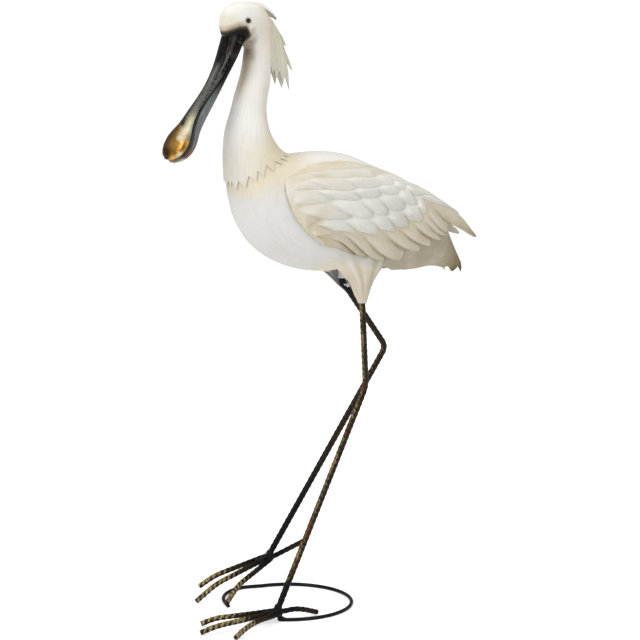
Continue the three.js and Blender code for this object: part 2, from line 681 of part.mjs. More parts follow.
function ringGeometry() {
  const path = [];
  const from = THREE.MathUtils.degToRad(RING_FROM_DEG);
  const to = THREE.MathUtils.degToRad(RING_TO_DEG);
  const at = (angle, z) => {
    const degrees = THREE.MathUtils.radToDeg(angle);
    const swing = RING_HOOK.rise * smooth(RING_HOOK.outDeg, RING_HOOK.fullDeg, degrees);
    const home = (RING_HOOK.end - swing) * smooth(RING_HOOK.backDeg - 8, RING_HOOK.homeDeg + 4, degrees);
    const radius = RING_RADIUS + swing + home;
    return new THREE.Vector3(
      RING_CENTRE[0] + radius * Math.cos(angle),
      RING_CENTRE[1] + radius * Math.sin(angle),
      z,
    );
  };
  for (let i = 0; i <= RING_STEPS; i += 1) path.push(at(lerp(from, to, i / RING_STEPS), 0));
  const apothem = RING_WIRE_RADIUS * Math.cos(Math.PI / BAR_SIDES);
  path.forEach((p) => { p.z = apothem; });
  return bar(path, RING_WIRE_RADIUS, BAR_SIDES, 0.5);
}

function ringStub() {
  const angle = THREE.MathUtils.degToRad(RING_FROM_DEG + 1.3);
  const x = RING_CENTRE[0] + RING_RADIUS * Math.cos(angle);
  const y = RING_CENTRE[1] + RING_RADIUS * Math.sin(angle);
  const path = [new THREE.Vector3(x, y, 2.2), new THREE.Vector3(x, y, RING_STUB_TOP)];
  return bar(path, RING_WIRE_RADIUS, BAR_SIDES, 0.5);
}

function socketTube(side) {
  const [x, y] = LEG_PATHS[side][0];
  const bottom = SOCKET_MOUTH_Z[side];
  const outer = new THREE.CylinderGeometry(SOCKET_RADIUS, SOCKET_RADIUS, 700 - bottom, 12);
  const bore = new THREE.CylinderGeometry(SOCKET_BORE, SOCKET_BORE, 720 - bottom, 12);
  for (const geometry of [outer, bore]) {
    geometry.rotateX(Math.PI / 2);
    geometry.translate(Math.abs(x), y, (700 + bottom) / 2);
  }
  const us = sampleList(16.2, 26, 16);
  const room = bodySideSolid(-SHEET - 0.9, -2, 10, us).add(thighSolid(side, SHEET + 0.35, 6));
  return biggestBody(toManifold(outer).subtract(toManifold(bore)).intersect(room));
}

function clampScrew(side) {
  const [x, y] = LEG_PATHS[side][0];
  const z = SOCKET_MOUTH_Z[side] + CLAMP_SCREW.drop;
  const geometry = new THREE.CylinderGeometry(CLAMP_SCREW.radius, CLAMP_SCREW.radius, CLAMP_SCREW.length, 8);
  geometry.rotateZ(Math.PI / 2);
  const sign = Math.sign(x);
  geometry.translate(x - sign * (SOCKET_RADIUS + 0.35 + CLAMP_SCREW.length / 2), y, z);
  return geometry;
}

function mirrored(geometry) {
  const copy = geometry.clone();
  copy.scale(-1, 1, 1);
  return facingOut(copy);
}

function eyeGeometry(side) {
  const ball = new THREE.SphereGeometry(EYE.radius, 10, 6);
  ball.translate(EYE.x, EYE.y, EYE.z);
  const bead = fromManifold(biggestBody(toManifold(ball).subtract(headBlock(0.35))));
  return side > 0 ? bead : mirrored(bead);
}

// The scene graph
const statue = new THREE.Group();
const inner = new THREE.Group();
statue.add(inner);

function place(name, geometry, material) {
  const mesh = new THREE.Mesh(geometry, material);
  mesh.name = name;
  inner.add(mesh);
  return mesh;
}

place('body_left', fromManifold(bodyHalf('left')), PAINT_WHITE);
place('body_right', mirrored(fromManifold(bodyHalf('right'))), PAINT_WHITE);
place('neck_and_head', neckGeometry(), PAINT_WHITE);
place('bill_upper', fromManifold(billPlate(true)), PAINT_BILL);
place('bill_lower', fromManifold(billPlate(false)), PAINT_BILL_LOWER);
place('eye_left', eyeGeometry(1), EYE_BLACK);
place('eye_right', eyeGeometry(-1), EYE_BLACK);
place('crest_top', fromManifold(crestTop()), PAINT_WHITE);
place('crest_middle', fromManifold(crestPlate(CREST_MIDDLE, 0)), PAINT_WHITE);
place('crest_left', fromManifold(crestPlate(CREST_SIDE, 1)), PAINT_WHITE);
place('crest_right', fromManifold(crestPlate(CREST_SIDE, -1)), PAINT_WHITE);
place('wing_left', wingGeometry(false), PAINT_WING);
place('wing_right', wingGeometry(true), PAINT_WING);
for (const side of ['left', 'right']) {
  const tube = fromManifold(socketTube(side));
  place(`leg_socket_${side}`, side === 'left' ? tube : mirrored(tube), PAINT_WHITE);
  place(`clamp_screw_${side}`, clampScrew(side), PAINT_WHITE);
  const rod = bar(roundedPath(LEG_PATHS[side], KNEE_ROUND, HIP_ROUND), LEG_RADIUS, BAR_SIDES, 0, PALM_Z[side]);
  place(`leg_${side}`, rod, BAR_BRONZE);
}
for (const [name, path] of Object.entries(TOE_PATHS)) {
  place(name, bar(roundedPath(path, 9), TOE_RADIUS, BAR_SIDES, 0.5), BAR_BRONZE);
}
place('stand_ring', fromManifold(toManifold(ringGeometry()).add(toManifold(ringStub()))), WIRE_BLACK);

// The origin goes to the middle of the footprint, on the ground
const bounds = new THREE.Box3().setFromObject(inner);
inner.position.set(-(bounds.min.x + bounds.max.x) / 2, -(bounds.min.y + bounds.max.y) / 2, -bounds.min.z);

export default statue;
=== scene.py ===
import math

import bpy
import numpy as np
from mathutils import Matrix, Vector
from mathutils.bvhtree import BVHTree


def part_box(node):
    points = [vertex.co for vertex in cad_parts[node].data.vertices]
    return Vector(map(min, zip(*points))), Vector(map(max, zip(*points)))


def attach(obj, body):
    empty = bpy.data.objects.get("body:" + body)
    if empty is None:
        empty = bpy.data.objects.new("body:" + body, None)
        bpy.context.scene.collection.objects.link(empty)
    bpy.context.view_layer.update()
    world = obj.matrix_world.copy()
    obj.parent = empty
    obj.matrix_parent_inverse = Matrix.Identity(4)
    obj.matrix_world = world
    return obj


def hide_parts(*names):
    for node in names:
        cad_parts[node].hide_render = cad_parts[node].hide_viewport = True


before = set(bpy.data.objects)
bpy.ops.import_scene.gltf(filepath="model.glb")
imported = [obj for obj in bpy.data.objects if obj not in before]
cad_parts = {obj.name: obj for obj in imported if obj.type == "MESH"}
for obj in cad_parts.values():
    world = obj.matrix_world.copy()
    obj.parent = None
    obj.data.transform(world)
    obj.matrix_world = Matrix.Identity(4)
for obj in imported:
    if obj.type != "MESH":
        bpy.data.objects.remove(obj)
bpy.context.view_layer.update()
tube_low, tube_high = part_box("leg_socket_left")

# Place of the bird's own origin in the row frame
SOCKET_LEFT = (42.0, 113.0)
SHIFT = np.array([
    500.0 * (tube_low[0] + tube_high[0]) - SOCKET_LEFT[0],
    500.0 * (tube_low[1] + tube_high[1]) - SOCKET_LEFT[1],
    0.0,
])
PI = math.pi

# Sheet, bar and wire sizes
SHEET = 1.0
LEG_RADIUS = 4.45
TOE_RADIUS = 3.75
RIB_HEIGHT = 0.45
RIB_PITCH = 9.0
WIRE_RADIUS = 2.75
BAR_SPACING = 0.8
WIRE_SPACING = 1.6

# Fineness of the remeshed pieces in metres, and the fillet at the thigh roots
BODY_VOXEL = 0.0023
WELD_VOXEL = 0.0008
FILLET_REACH = 7.0
FILLET_ROUNDS = 26
FORM_WITHIN = 1.2
THIGH_BEYOND = 8.0

# Cross sections from crown to tail: back point (Y, Z), belly point (Y, Z), half width
SECTIONS = np.array([
    [-53.0, 894.5, -80.0, 894.5, 10.0],
    [-37.3, 888.8, -94.1, 888.8, 17.5],
    [-30.9, 880.3, -101.5, 880.3, 21.5],
    [-26.8, 871.7, -104.6, 871.7, 24.0],
    [-25.0, 863.2, -105.2, 863.2, 25.0],
    [-24.6, 854.6, -103.6, 854.6, 25.0],
    [-24.6, 847.4, -99.0, 846.5, 24.5],
    [-24.6, 839.8, -80.5, 839.8, 22.0],
    [-24.7, 830.9, -64.4, 830.9, 20.2],
    [-24.8, 819.4, -63.6, 819.4, 19.8],
    [-25.3, 793.6, -67.9, 793.6, 22.3],
    [-27.4, 776.5, -72.9, 776.5, 24.2],
    [-31.3, 759.5, -79.1, 759.5, 25.0],
    [-34.0, 742.5, -83.8, 742.5, 26.2],
    [-34.2, 725.3, -88.2, 725.3, 28.4],
    [-31.0, 708.0, -92.2, 707.0, 31.8],
    [-21.6, 691.5, -94.2, 682.0, 36.5],
    [-7.5, 677.0, -92.2, 654.0, 43.5],
    [12.5, 670.8, -85.0, 614.0, 54.0],
    [39.5, 671.8, -73.0, 575.5, 61.5],
    [75.3, 671.0, -48.5, 539.8, 65.5],
    [111.4, 664.0, -10.8, 513.8, 67.0],
    [157.1, 645.5, 35.7, 498.0, 66.0],
    [203.5, 626.2, 93.5, 492.2, 62.0],
    [248.0, 600.0, 157.8, 486.3, 54.0],
    [278.0, 571.0, 222.0, 481.2, 41.0],
    [297.0, 536.0, 266.0, 483.0, 28.0],
    [312.0, 508.0, 296.0, 476.0, 19.0],
    [329.0, 480.0, 316.0, 459.0, 13.0],
])
SECTION_ROUNDNESS = 0.9
STUMP_AT = 15.9
BODY_END_AT = 27.9

# Search for a point's own section, and the middle of the crown and of the neck
BODY_READ_FROM = 14.0
HALVINGS = 26
CROWN_CENTRE = (0.0, -66.5, 894.5)
NECK_MIDDLE_Y = -55.0
NECK_RADIUS = 26.0

# Collar: its cut edge from the nape (0) to the breast (7), and how far it stands off the body
COLLAR_RISE = (12.8, 14.8)
COLLAR_STANDS_OFF = 1.75
COLLAR_ROWS_FROM = 15.6
COLLAR_BREAST = 7
CUT_EDGE_STEP = 0.055
COLLAR_LINE = [
    (0, 17.3), (0.5, 16.95), (0.75, 17.33), (1.2, 16.95), (1.45, 17.33), (1.85, 16.95), (2.1, 17.36),
    (2.5, 16.96), (2.75, 17.36), (3.15, 16.94), (3.67, 17.41), (3.9, 16.98), (4.46, 17.45), (4.67, 17.12),
    (4.99, 17.52), (5.37, 17.24), (5.81, 17.64), (6.22, 17.36), (6.55, 17.68), (6.86, 17.38), (7, 17.6),
]

# Wing surface, feather roots, feather tips and the edges of the rows of small feathers
WING_FAN = np.vstack([
    SECTIONS[16:24],
    [
        [251.0, 606.0, 157.8, 488.0, 60.0],
        [288.0, 581.0, 215.0, 482.0, 53.0],
        [320.0, 552.0, 262.0, 478.0, 43.0],
        [347.0, 525.5, 300.0, 470.0, 29.0],
        [366.0, 504.0, 330.0, 462.0, 18.0],
    ],
])
WING_CLEARANCE = 1.7
WING_TUCK = 0.45
WING_ROOTS = [
    [34, 540.5], [12, 554.5], [-10, 574], [-27, 600], [-34.6, 629], [-28, 648],
    [-2, 663], [60, 665.5], [124, 653], [200, 622.5], [290, 571],
]
WING_TIPS = [
    [84.2, 526], [104.6, 519.9], [134.9, 512.7], [165.4, 509.9], [200.1, 519.9],
    [223.5, 525.2], [244, 531.8], [263.6, 536.3], [268, 552], [335.7, 522.7],
]
NOTCH_AT = np.array([0.2, 1.42, 2.42, 3.42, 4.42, 5.42, 6.38, 7.1, 7.62, 8.64, 10.5])
NOTCH_DEPTH = np.array([8, 19, 26, 27, 26, 25, 22, 18, 8, 5, 14], float)
FLOW_BEND = 0.055
TIP_BEND = 0.3
ROW_EDGES = [
    [0.01, 0.01, 0.01, 0.01, 0.02, 0.04, 0.15, 0.2, 0.13, 0.08, 0.04],
    [0.015, 0.015, 0.015, 0.015, 0.03, 0.1, 0.27, 0.32, 0.23, 0.15, 0.08],
    [0.02, 0.02, 0.02, 0.02, 0.06, 0.31, 0.42, 0.44, 0.36, 0.25, 0.14],
    [0.025, 0.025, 0.025, 0.04, 0.28, 0.45, 0.52, 0.53, 0.455, 0.32, 0.16],
    [0.03, 0.03, 0.06, 0.31, 0.54, 0.62, 0.655, 0.65, 0.59, 0.43, 0.22],
    [0.05, 0.16, 0.35, 0.55, 0.695, 0.755, 0.78, 0.77, 0.705, 0.54, 0.3],
]
ROW_SHIFT = [0.1, 0.6, 0.15, 0.65, 0.1, 0.62]
ROW_SCALLOP = [4.0, 5.0, 6.0, 8.0, 9.0, 11.0]
ROW_LIFT = [1.0, 1.4, 2.0, 2.6, 3.0, 3.2]
ROW_STEPS = [6, 6, 8, 9, 10, 12, 22]
BLADE_LIFT = 2.5
FRONT_SINK = 4.2
FEATHER_WIDTH = 27.0

# Thighs: height, half depth in X, half length in Y
THIGH_X = 42.0
THIGH_Y = 112.5
THIGH_TOP_Z = 508.0
THIGH_LEAN = {"left": 0.0, "right": 0.66}
THIGH_PROFILE = np.array([
    [560, 12, 38], [530, 13.5, 52], [508, 15.2, 46], [495, 14.8, 34],
    [481, 13.2, 22], [469, 11.2, 15.8], [456, 8.8, 10.6], [448, 7.5, 8.2], [446, 7.2, 7.7],
], float)
BELLY_CENTRE_Y = 128.0
BELLY_HALF = (34.0, 64.0)
BELLY_HEIGHTS = (457.0, 532.0)
THIGH_SLOT = (43.2, 60.0, 215.0)
THIGH_SLOT_HEIGHTS = (430.0, 484.0)
THIGH_MOUTH = (60.0, 90.0, 175.0)
THIGH_MOUTH_HEIGHTS = (430.0, 447.2)
TAIL_CUT = [
    (360, 560), (296.5, 527), (309.5, 509), (321.5, 485), (320.5, 469.5), (312, 479.5),
    (306, 471), (296, 480.5), (290, 480), (288, 440), (360, 440),
]

# Legs, palms and toes as centre lines
LEG_PATHS = {
    "left": [[42, 113, 530], [42, 113, 452], [46, 117.3, 321.5], [81.3, -67.0, 14.0]],
    "right": [[-42, 136.2, 530], [-42, 136.2, 466.5], [-46, 221.5, 355.7], [-63.4, 15.0, 51.6]],
}
HIP_ROUND = 4.5
KNEE_ROUND = 12.0
TOE_ROUND = 16.0
SOCKET_RADIUS = 6.4
SOCKET_BORE = 5.6
TUBE_BELOW_TOP = 8.0
LOCK_SCREW_PLACE = {"left": (28.5, 113.4, 461.0), "right": (-28.5, 138.6, 461.0)}
TOE_PATHS = {
    "toe_inner_left": [[73.6, -67.5, 12.6], [71.5, -112, 14], [56, -157, 12.2], [45.3, -176, 4.2]],
    "toe_middle_left": [[82.4, -67.5, 12.6], [91, -127, 13.8], [89.5, -175, 12], [82.5, -200.5, 4.2]],
    "toe_outer_left": [[91.2, -67.5, 12.6], [108, -121, 13.6], [120, -147, 11.2], [131.5, -172.5, 4.2]],
    "toe_hind_left": [[83.4, -64.6, 12.4], [91, -42, 15.4], [95, -28, 13], [92.5, -4, 4.3]],
    "toe_outer_right": [[-71.6, 14, 49.9], [-94.5, -61.7, 26.4], [-108, -81, 9.4]],
    "toe_middle_right": [[-62.8, 14, 49.9], [-62, -80, 23.8], [-57.5, -118, 4.4]],
    "toe_inner_right": [[-54, 14, 49.9], [-36.5, -58, 23.6], [-16.2, -87.5, 11.4], [-13.4, -92, 8.2]],
    "toe_hind_right": [[-62, 18.4, 48.9], [-49.5, 72, 70.5]],
}
RING_CENTRE = (17.5, -4.5)
RING_RADIUS = 95.0
RING_DEGREES = (-42.0, 250.0)
RING_HOOK = {"out": 168.0, "full": 192.0, "back": 198.0, "home": 254.0, "rise": 9.5, "end": -4.0}
RING_STUB_TOP = 11.5

# Bill: distance, rise, upper half width and height, lower half width and depth, gape
BILL_ROOT = (-74.9, 846.5)
BILL_PITCH = math.radians(56.9)
BILL_WALL = 0.8
BILL_ROWS = np.array([
    [-6, 2.0, 17, 17, 8, 6, 0.4],
    [2, 2.4, 22.5, 18.6, 12, 8, 0.5],
    [10, 1.8, 24.4, 18.2, 15, 9, 0.5],
    [22, 0.8, 23.0, 16.4, 16, 9, 0.5],
    [38, 0.6, 19.6, 13.6, 16, 9.8, 0.6],
    [61.5, 1, 15.5, 9.9, 15, 10.8, 0.8],
    [85, 2.3, 13, 7.3, 14, 12.6, 1.5],
    [105.5, 5, 12, 5.8, 14, 14.8, 2.5],
    [127.5, 8, 12.5, 5.2, 15.5, 16, 4],
    [149.5, 8.2, 16.5, 7.4, 19.5, 14.5, 5.5],
    [171.5, 6.4, 24.5, 13.4, 27, 12, 6.5],
    [185, 5.8, 26.7, 13.8, 28, 10, 6.8],
    [196, 6.3, 23.5, 11, 24.5, 7.5, 6.8],
    [203, 7.2, 17.5, 7.6, 18.5, 5, 6.6],
    [208, 8, 8, 3.8, 8, 3, 6.3],
])

# Crest plates in side view
CREST_SIDE = [
    (-32.5, 874), (-24, 867), (-17, 856.5), (-10.5, 841), (-6.5, 827), (-3.2, 815), (0, 804), (3, 792),
    (5.6, 766), (2, 773.5), (-3, 787), (-6, 773), (-11, 786), (-13, 794), (-19.5, 782), (-22.5, 797),
    (-26, 791), (-29, 804), (-30.5, 830), (-31.5, 850),
]
CREST_MIDDLE = [
    (-22.5, 868), (-9.5, 855.5), (0.5, 841.5), (7.4, 827.6), (1.5, 831), (5.5, 820), (12, 807.5),
    (17, 791.5), (7.5, 803.5), (-4, 800), (-12, 806), (-21.5, 812), (-22.3, 840),
]
CREST_SIDE_X = 10.4
CREST_SPLAY = -0.06
CREST_TOP_ROWS = [
    [-46.2, 892.0, 8.6], [-37, 890.2, 12], [-26, 882.8, 11.5], [-17, 873.5, 8], [-11.5, 866.5, 1.6],
]

EYE = (24.6, -74.5, 869.6)
EYE_RADIUS = 3.5


def paint(red, green, blue):
    """A colour as seen on screen, 0 to 255, for a shader socket."""
    parts = (c / 255 for c in (red, green, blue))
    return tuple(((c + 0.055) / 1.055) ** 2.4 if c > 0.04 else c / 12.92 for c in parts) + (1.0,)


# Paints and patina
WARM_WHITE = paint(243, 241, 235)
COOL_WHITE = paint(226, 228, 224)
BODY_WHITE = paint(229, 228, 225)
WING_WHITE = paint(238, 238, 231)
CREAM = paint(233, 222, 196)
TAUPE = paint(170, 160, 138)
OLIVE_BROWN = paint(134, 119, 84)
OLIVE_DARK = paint(74, 62, 36)
SOOT = paint(13, 10, 11)
SOOT_BROWN = paint(100, 82, 60)
MAUVE_GREY = paint(176, 172, 176)
INSIDE_GREY = paint(212, 212, 212)


# Numbers and curves
def lerp(a, b, t):
    return a + (b - a) * t


def smooth(low, high, value):
    t = np.clip((np.asarray(value, float) - low) / (high - low), 0, 1)
    return t * t * (3 - 2 * t)


def bump_at(value, centre, width):
    return np.exp(-(((np.asarray(value, float) - centre) / width) ** 2))


def read_table(rows, at):
    rows = np.asarray(rows, float)
    last = len(rows) - 1
    at = np.clip(np.asarray(at, float), 0, last)
    i = np.minimum(at.astype(int), last - 1)
    t = (at - i)[..., None]
    here, after = rows[i], rows[i + 1]
    slope_here = (after - rows[np.maximum(i - 1, 0)]) / 2
    slope_after = (rows[np.minimum(i + 2, last)] - here) / 2
    return (
        (2 * t**3 - 3 * t**2 + 1) * here + (t**3 - 2 * t**2 + t) * slope_here
        + (3 * t**2 - 2 * t**3) * after + (t**3 - t**2) * slope_after
    )


def read_by_first(rows, value):
    at = np.interp(np.asarray(value, float), rows[:, 0], np.arange(len(rows)))
    return read_table(rows, at)


def clouds(y, z, size=1.0):
    """Soft patches between 0 and 1 from a few waves, the same on every run."""
    y, z = y / size, z / size
    wave = np.sin(y * 0.061 + 1.3) * np.cos(z * 0.083 + 0.4) + np.sin(y * 0.023 - z * 0.047)
    return np.clip(0.5 + 0.25 * wave, 0, 1)


# Making and finishing pieces
def to_row(points):
    return (np.asarray(points, float) + SHIFT) / 1000


def pick(obj):
    bpy.ops.object.select_all(action="DESELECT")
    obj.select_set(True)
    bpy.context.view_layer.objects.active = obj


def corners(obj):
    co = np.empty(len(obj.data.vertices) * 3)
    obj.data.vertices.foreach_get("co", co)
    return co.reshape(-1, 3)


def bird_points(obj):
    return corners(obj) * 1000 - SHIFT


def bird_normals(obj):
    normals = np.empty(len(obj.data.vertices) * 3)
    obj.data.vertices.foreach_get("normal", normals)
    return normals.reshape(-1, 3)


def move_corners(obj, points):
    obj.data.vertices.foreach_set("co", np.ascontiguousarray(to_row(points)).ravel())
    obj.data.update()


def edit_all(obj, *steps):
    """Run edit-mode steps with the whole piece selected."""
    pick(obj)
    bpy.ops.object.mode_set(mode="EDIT")
    bpy.ops.mesh.select_all(action="SELECT")
    for step in steps:
        step()
    bpy.ops.object.mode_set(mode="OBJECT")


def merge(obj, distance=2e-6):
    edit_all(
        obj,
        lambda: bpy.ops.mesh.remove_doubles(threshold=distance),
        lambda: bpy.ops.mesh.dissolve_degenerate(threshold=distance),
    )


def outward(obj):
    edit_all(obj, lambda: bpy.ops.mesh.normals_make_consistent(inside=False))


def apply_modifier(obj, kind, **values):
    pick(obj)
    modifier = obj.modifiers.new(kind.title(), kind)
    for key, value in values.items():
        setattr(modifier, key, value)
    bpy.ops.object.modifier_apply(modifier=modifier.name)


def grid_piece(name, across, along, place, closed=False, flip=False):
    """A grid primitive whose corners are moved to place(column, row), both whole numbers."""
    bpy.ops.object.select_all(action="DESELECT")
    bpy.ops.mesh.primitive_grid_add(x_subdivisions=across, y_subdivisions=along, size=2)
    obj = bpy.context.object
    obj.name = name
    obj.data.name = name
    co = corners(obj)
    column = np.rint((co[:, 0] + 1) / 2 * across).astype(int)
    row = np.rint((co[:, 1] + 1) / 2 * along).astype(int)
    move_corners(obj, place(column, row))
    if closed:
        merge(obj)
    if flip:
        edit_all(obj, lambda: bpy.ops.mesh.flip_normals())
    return obj


def prism(name, outline, axis, low, high):
    """A closed block over an outline: across X from side view, or up Z from above."""
    if axis == "X":
        points = [(low, y, z) for y, z in outline]
        push = ((high - low) / 1000, 0, 0)
    else:
        points = [(x, y, low) for x, y in outline]
        push = (0, 0, (high - low) / 1000)
    mesh = bpy.data.meshes.new(name)
    mesh.from_pydata([tuple(p) for p in to_row(points)], [], [list(range(len(points)))])
    obj = bpy.data.objects.new(name, mesh)
    bpy.context.collection.objects.link(obj)
    edit_all(
        obj,
        lambda: bpy.ops.mesh.extrude_region_move(TRANSFORM_OT_translate={"value": push}),
        lambda: bpy.ops.mesh.select_all(action="SELECT"),
        lambda: bpy.ops.mesh.normals_make_consistent(inside=False),
    )
    two_slots(obj)
    obj.data.polygons.foreach_set("material_index", [1] * len(obj.data.polygons))
    return obj


def two_slots(obj):
    while len(obj.data.materials) < 2:
        obj.data.materials.append(None)


def remove(*objs):
    for obj in objs:
        bpy.data.objects.remove(obj, do_unlink=True)


def cut(obj, *cutters, operation="DIFFERENCE"):
    """Faces made by a cutter end in the second material slot."""
    two_slots(obj)
    for cutter in cutters:
        apply_modifier(obj, "BOOLEAN", operation=operation, object=cutter, solver="EXACT")
    remove(*cutters)


def join_pieces(name, parts):
    bpy.ops.object.select_all(action="DESELECT")
    for part in parts:
        part.select_set(True)
    bpy.context.view_layer.objects.active = parts[0]
    bpy.ops.object.join()
    parts[0].name = name
    return parts[0]


def tree_of(obj):
    polygons = [tuple(p.vertices) for p in obj.data.polygons]
    return BVHTree.FromPolygons([tuple(p) for p in corners(obj)], polygons)


def distances(tree, points):
    return np.array([tree.find_nearest(Vector(p))[3] for p in points]) * 1000


def write_field(obj, name, values):
    field = obj.data.attributes.get(name) or obj.data.attributes.new(name, "FLOAT", "POINT")
    size = len(obj.data.vertices)
    values = np.broadcast_to(np.asarray(values, np.float32), (size,))
    field.data.foreach_set("value", np.ascontiguousarray(np.clip(values, 0, 1)))


def write_fields(obj, **fields):
    for name in ("wash", "shade", "soot", "rim", "inside", "grey", "head"):
        write_field(obj, name, fields.get(name, 0.0))


def write_flow(obj, across_mm, along_mm):
    """The piece's own UV map, in metres across and along the feathers."""
    loops = np.empty(len(obj.data.loops), int)
    obj.data.loops.foreach_get("vertex_index", loops)
    layer = obj.data.uv_layers.get("flow") or obj.data.uv_layers.new(name="flow")
    uv = np.stack([across_mm[loops], along_mm[loops]], 1) / 1000
    layer.data.foreach_set("uv", uv.ravel().astype(np.float32))
    obj.data.uv_layers.active = layer
    for other in [one for one in obj.data.uv_layers if one.name != "flow"]:
        obj.data.uv_layers.remove(other)


def smooth_faces(obj, degrees=35):
    pick(obj)
    bpy.ops.object.shade_smooth_by_angle(angle=math.radians(degrees))


def finish_piece(obj, materials, slot, *nodes):
    if not isinstance(materials, (list, tuple)):
        materials = [materials]
    indices = [p.material_index for p in obj.data.polygons]
    obj.data.materials.clear()
    for material in materials:
        obj.data.materials.append(material)
    obj.data.polygons.foreach_set("material_index", [min(i, len(materials) - 1) for i in indices])
    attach(obj, "root")
    if nodes:
        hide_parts(*nodes)


# Node tools
def node(tree, kind, **values):
    made = tree.nodes.new(kind)
    for key, value in values.items():
        setattr(made, key, value)
    return made


def feed(tree, socket, value):
    if isinstance(value, (int, float, tuple)):
        socket.default_value = value
    else:
        tree.links.new(value, socket)


def join(tree, source, target):
    tree.links.new(source, target)


def noise(tree, vector, scale, detail=3.0, roughness=0.55, distortion=0.0):
    made = node(tree, "ShaderNodeTexNoise")
    made.inputs["Scale"].default_value = scale
    made.inputs["Detail"].default_value = detail
    made.inputs["Roughness"].default_value = roughness
    made.inputs["Distortion"].default_value = distortion
    join(tree, vector, made.inputs["Vector"])
    return made.outputs["Fac"]


def remap(tree, value, low, high, to_low=0.0, to_high=1.0):
    made = node(tree, "ShaderNodeMapRange", clamp=True)
    for key, number in zip(("From Min", "From Max", "To Min", "To Max"), (low, high, to_low, to_high)):
        made.inputs[key].default_value = number
    feed(tree, made.inputs["Value"], value)
    return made.outputs["Result"]


def maths(tree, operation, first, second=0.0):
    made = node(tree, "ShaderNodeMath", operation=operation)
    feed(tree, made.inputs[0], first)
    feed(tree, made.inputs[1], second)
    return made.outputs[0]


def weighted(tree, *pairs):
    """Sum of values, each times its weight."""
    total = None
    for value, weight in pairs:
        part = maths(tree, "MULTIPLY", value, weight)
        total = part if total is None else maths(tree, "ADD", total, part)
    return total


def mix(tree, mask, first, second):
    made = node(tree, "ShaderNodeMix", data_type="RGBA")
    feed(tree, made.inputs[0], mask)
    feed(tree, made.inputs[6], first)
    feed(tree, made.inputs[7], second)
    return made.outputs[2]


def attribute(tree, name):
    return node(tree, "ShaderNodeAttribute", attribute_name=name).outputs["Fac"]


def mapped(tree, source, scale=(1, 1, 1), rotation=(0, 0, 0)):
    mapping = node(tree, "ShaderNodeMapping")
    mapping.inputs["Scale"].default_value = scale
    mapping.inputs["Rotation"].default_value = rotation
    join(tree, source, mapping.inputs["Vector"])
    return mapping.outputs["Vector"]


def object_place(tree, scale=(1, 1, 1), rotation=(0, 0, 0)):
    return mapped(tree, node(tree, "ShaderNodeTexCoord").outputs["Object"], scale, rotation)


def flow_place(tree, scale):
    return mapped(tree, node(tree, "ShaderNodeUVMap", uv_map="flow").outputs["UV"], scale)


def new_group(name, inputs, outputs):
    group = bpy.data.node_groups.new(name, "ShaderNodeTree")
    for label, kind, value in inputs:
        socket = group.interface.new_socket(label, in_out="INPUT", socket_type=kind)
        if value is not None:
            socket.default_value = value
    for label, kind in outputs:
        group.interface.new_socket(label, in_out="OUTPUT", socket_type=kind)
    return group, group.nodes.new("NodeGroupInput"), group.nodes.new("NodeGroupOutput")


def use_group(tree, group, **values):
    made = tree.nodes.new("ShaderNodeGroup")
    made.node_tree = group
    for key, value in values.items():
        feed(tree, made.inputs[key.replace("_", " ")], value)
    return made


def brushed_wash_group():
    """Hand-brushed paint: a white ground with washes by mask, broken up by brush marks."""
    group, start, end = new_group(
        "brushed_wash",
        [
            ("Place", "NodeSocketVector", None),
            ("Ground", "NodeSocketColor", WARM_WHITE),
            ("Wash", "NodeSocketColor", CREAM),
            ("Wash Mask", "NodeSocketFloat", 0.0),
            ("Shade", "NodeSocketColor", TAUPE),
            ("Shade Mask", "NodeSocketFloat", 0.0),
            ("Mottle", "NodeSocketFloat", 0.25),
        ],
        [("Color", "NodeSocketColor"), ("Roughness", "NodeSocketFloat")],
    )
    place = start.outputs["Place"]
    cloudy = noise(group, place, 34.0, 4.0)
    fine = noise(group, place, 210.0, 3.0, 0.6)
    broken = weighted(group, (cloudy, 0.65), (fine, 0.35))
    swing = maths(group, "MULTIPLY", maths(group, "SUBTRACT", broken, 0.5), start.outputs["Mottle"])
    swing = maths(group, "ADD", maths(group, "MULTIPLY", swing, 4.0), 1.0)
    wash = maths(group, "MULTIPLY", start.outputs["Wash Mask"], swing)
    shade = maths(group, "MULTIPLY", start.outputs["Shade Mask"], swing)
    faint = remap(group, cloudy, 0.35, 0.7, 0.0, 0.2)
    ground = mix(group, faint, start.outputs["Ground"], COOL_WHITE)
    colour = mix(group, remap(group, wash, 0.0, 1.0), ground, start.outputs["Wash"])
    colour = mix(group, remap(group, shade, 0.0, 1.0), colour, start.outputs["Shade"])
    join(group, colour, end.inputs["Color"])
    join(group, remap(group, broken, 0.3, 0.7, 0.42, 0.58), end.inputs["Roughness"])
    return group


def stroke_group():
    """Fine pressed feather strokes, long in one direction, as a height and a groove mask."""
    group, start, end = new_group(
        "feather_strokes",
        [
            ("Along", "NodeSocketVector", None),
            ("Grain", "NodeSocketVector", None),
            ("Depth", "NodeSocketFloat", 1.0),
        ],
        [("Height", "NodeSocketFloat"), ("Groove", "NodeSocketFloat")],
    )
    long_marks = noise(group, start.outputs["Along"], 1.0, 2.0, 0.5, 0.3)
    short_marks = noise(group, start.outputs["Along"], 2.3, 2.0, 0.5, 0.2)
    grain = noise(group, start.outputs["Grain"], 900.0, 2.0)
    marks = weighted(group, (long_marks, 0.6), (short_marks, 0.4))
    pressed = maths(group, "MULTIPLY", marks, start.outputs["Depth"])
    height = maths(group, "ADD", pressed, maths(group, "MULTIPLY", grain, 0.05))
    join(group, height, end.inputs["Height"])
    join(group, remap(group, marks, 0.54, 0.4), end.inputs["Groove"])
    return group


BRUSHED_WASH = brushed_wash_group()
FEATHER_STROKES = stroke_group()


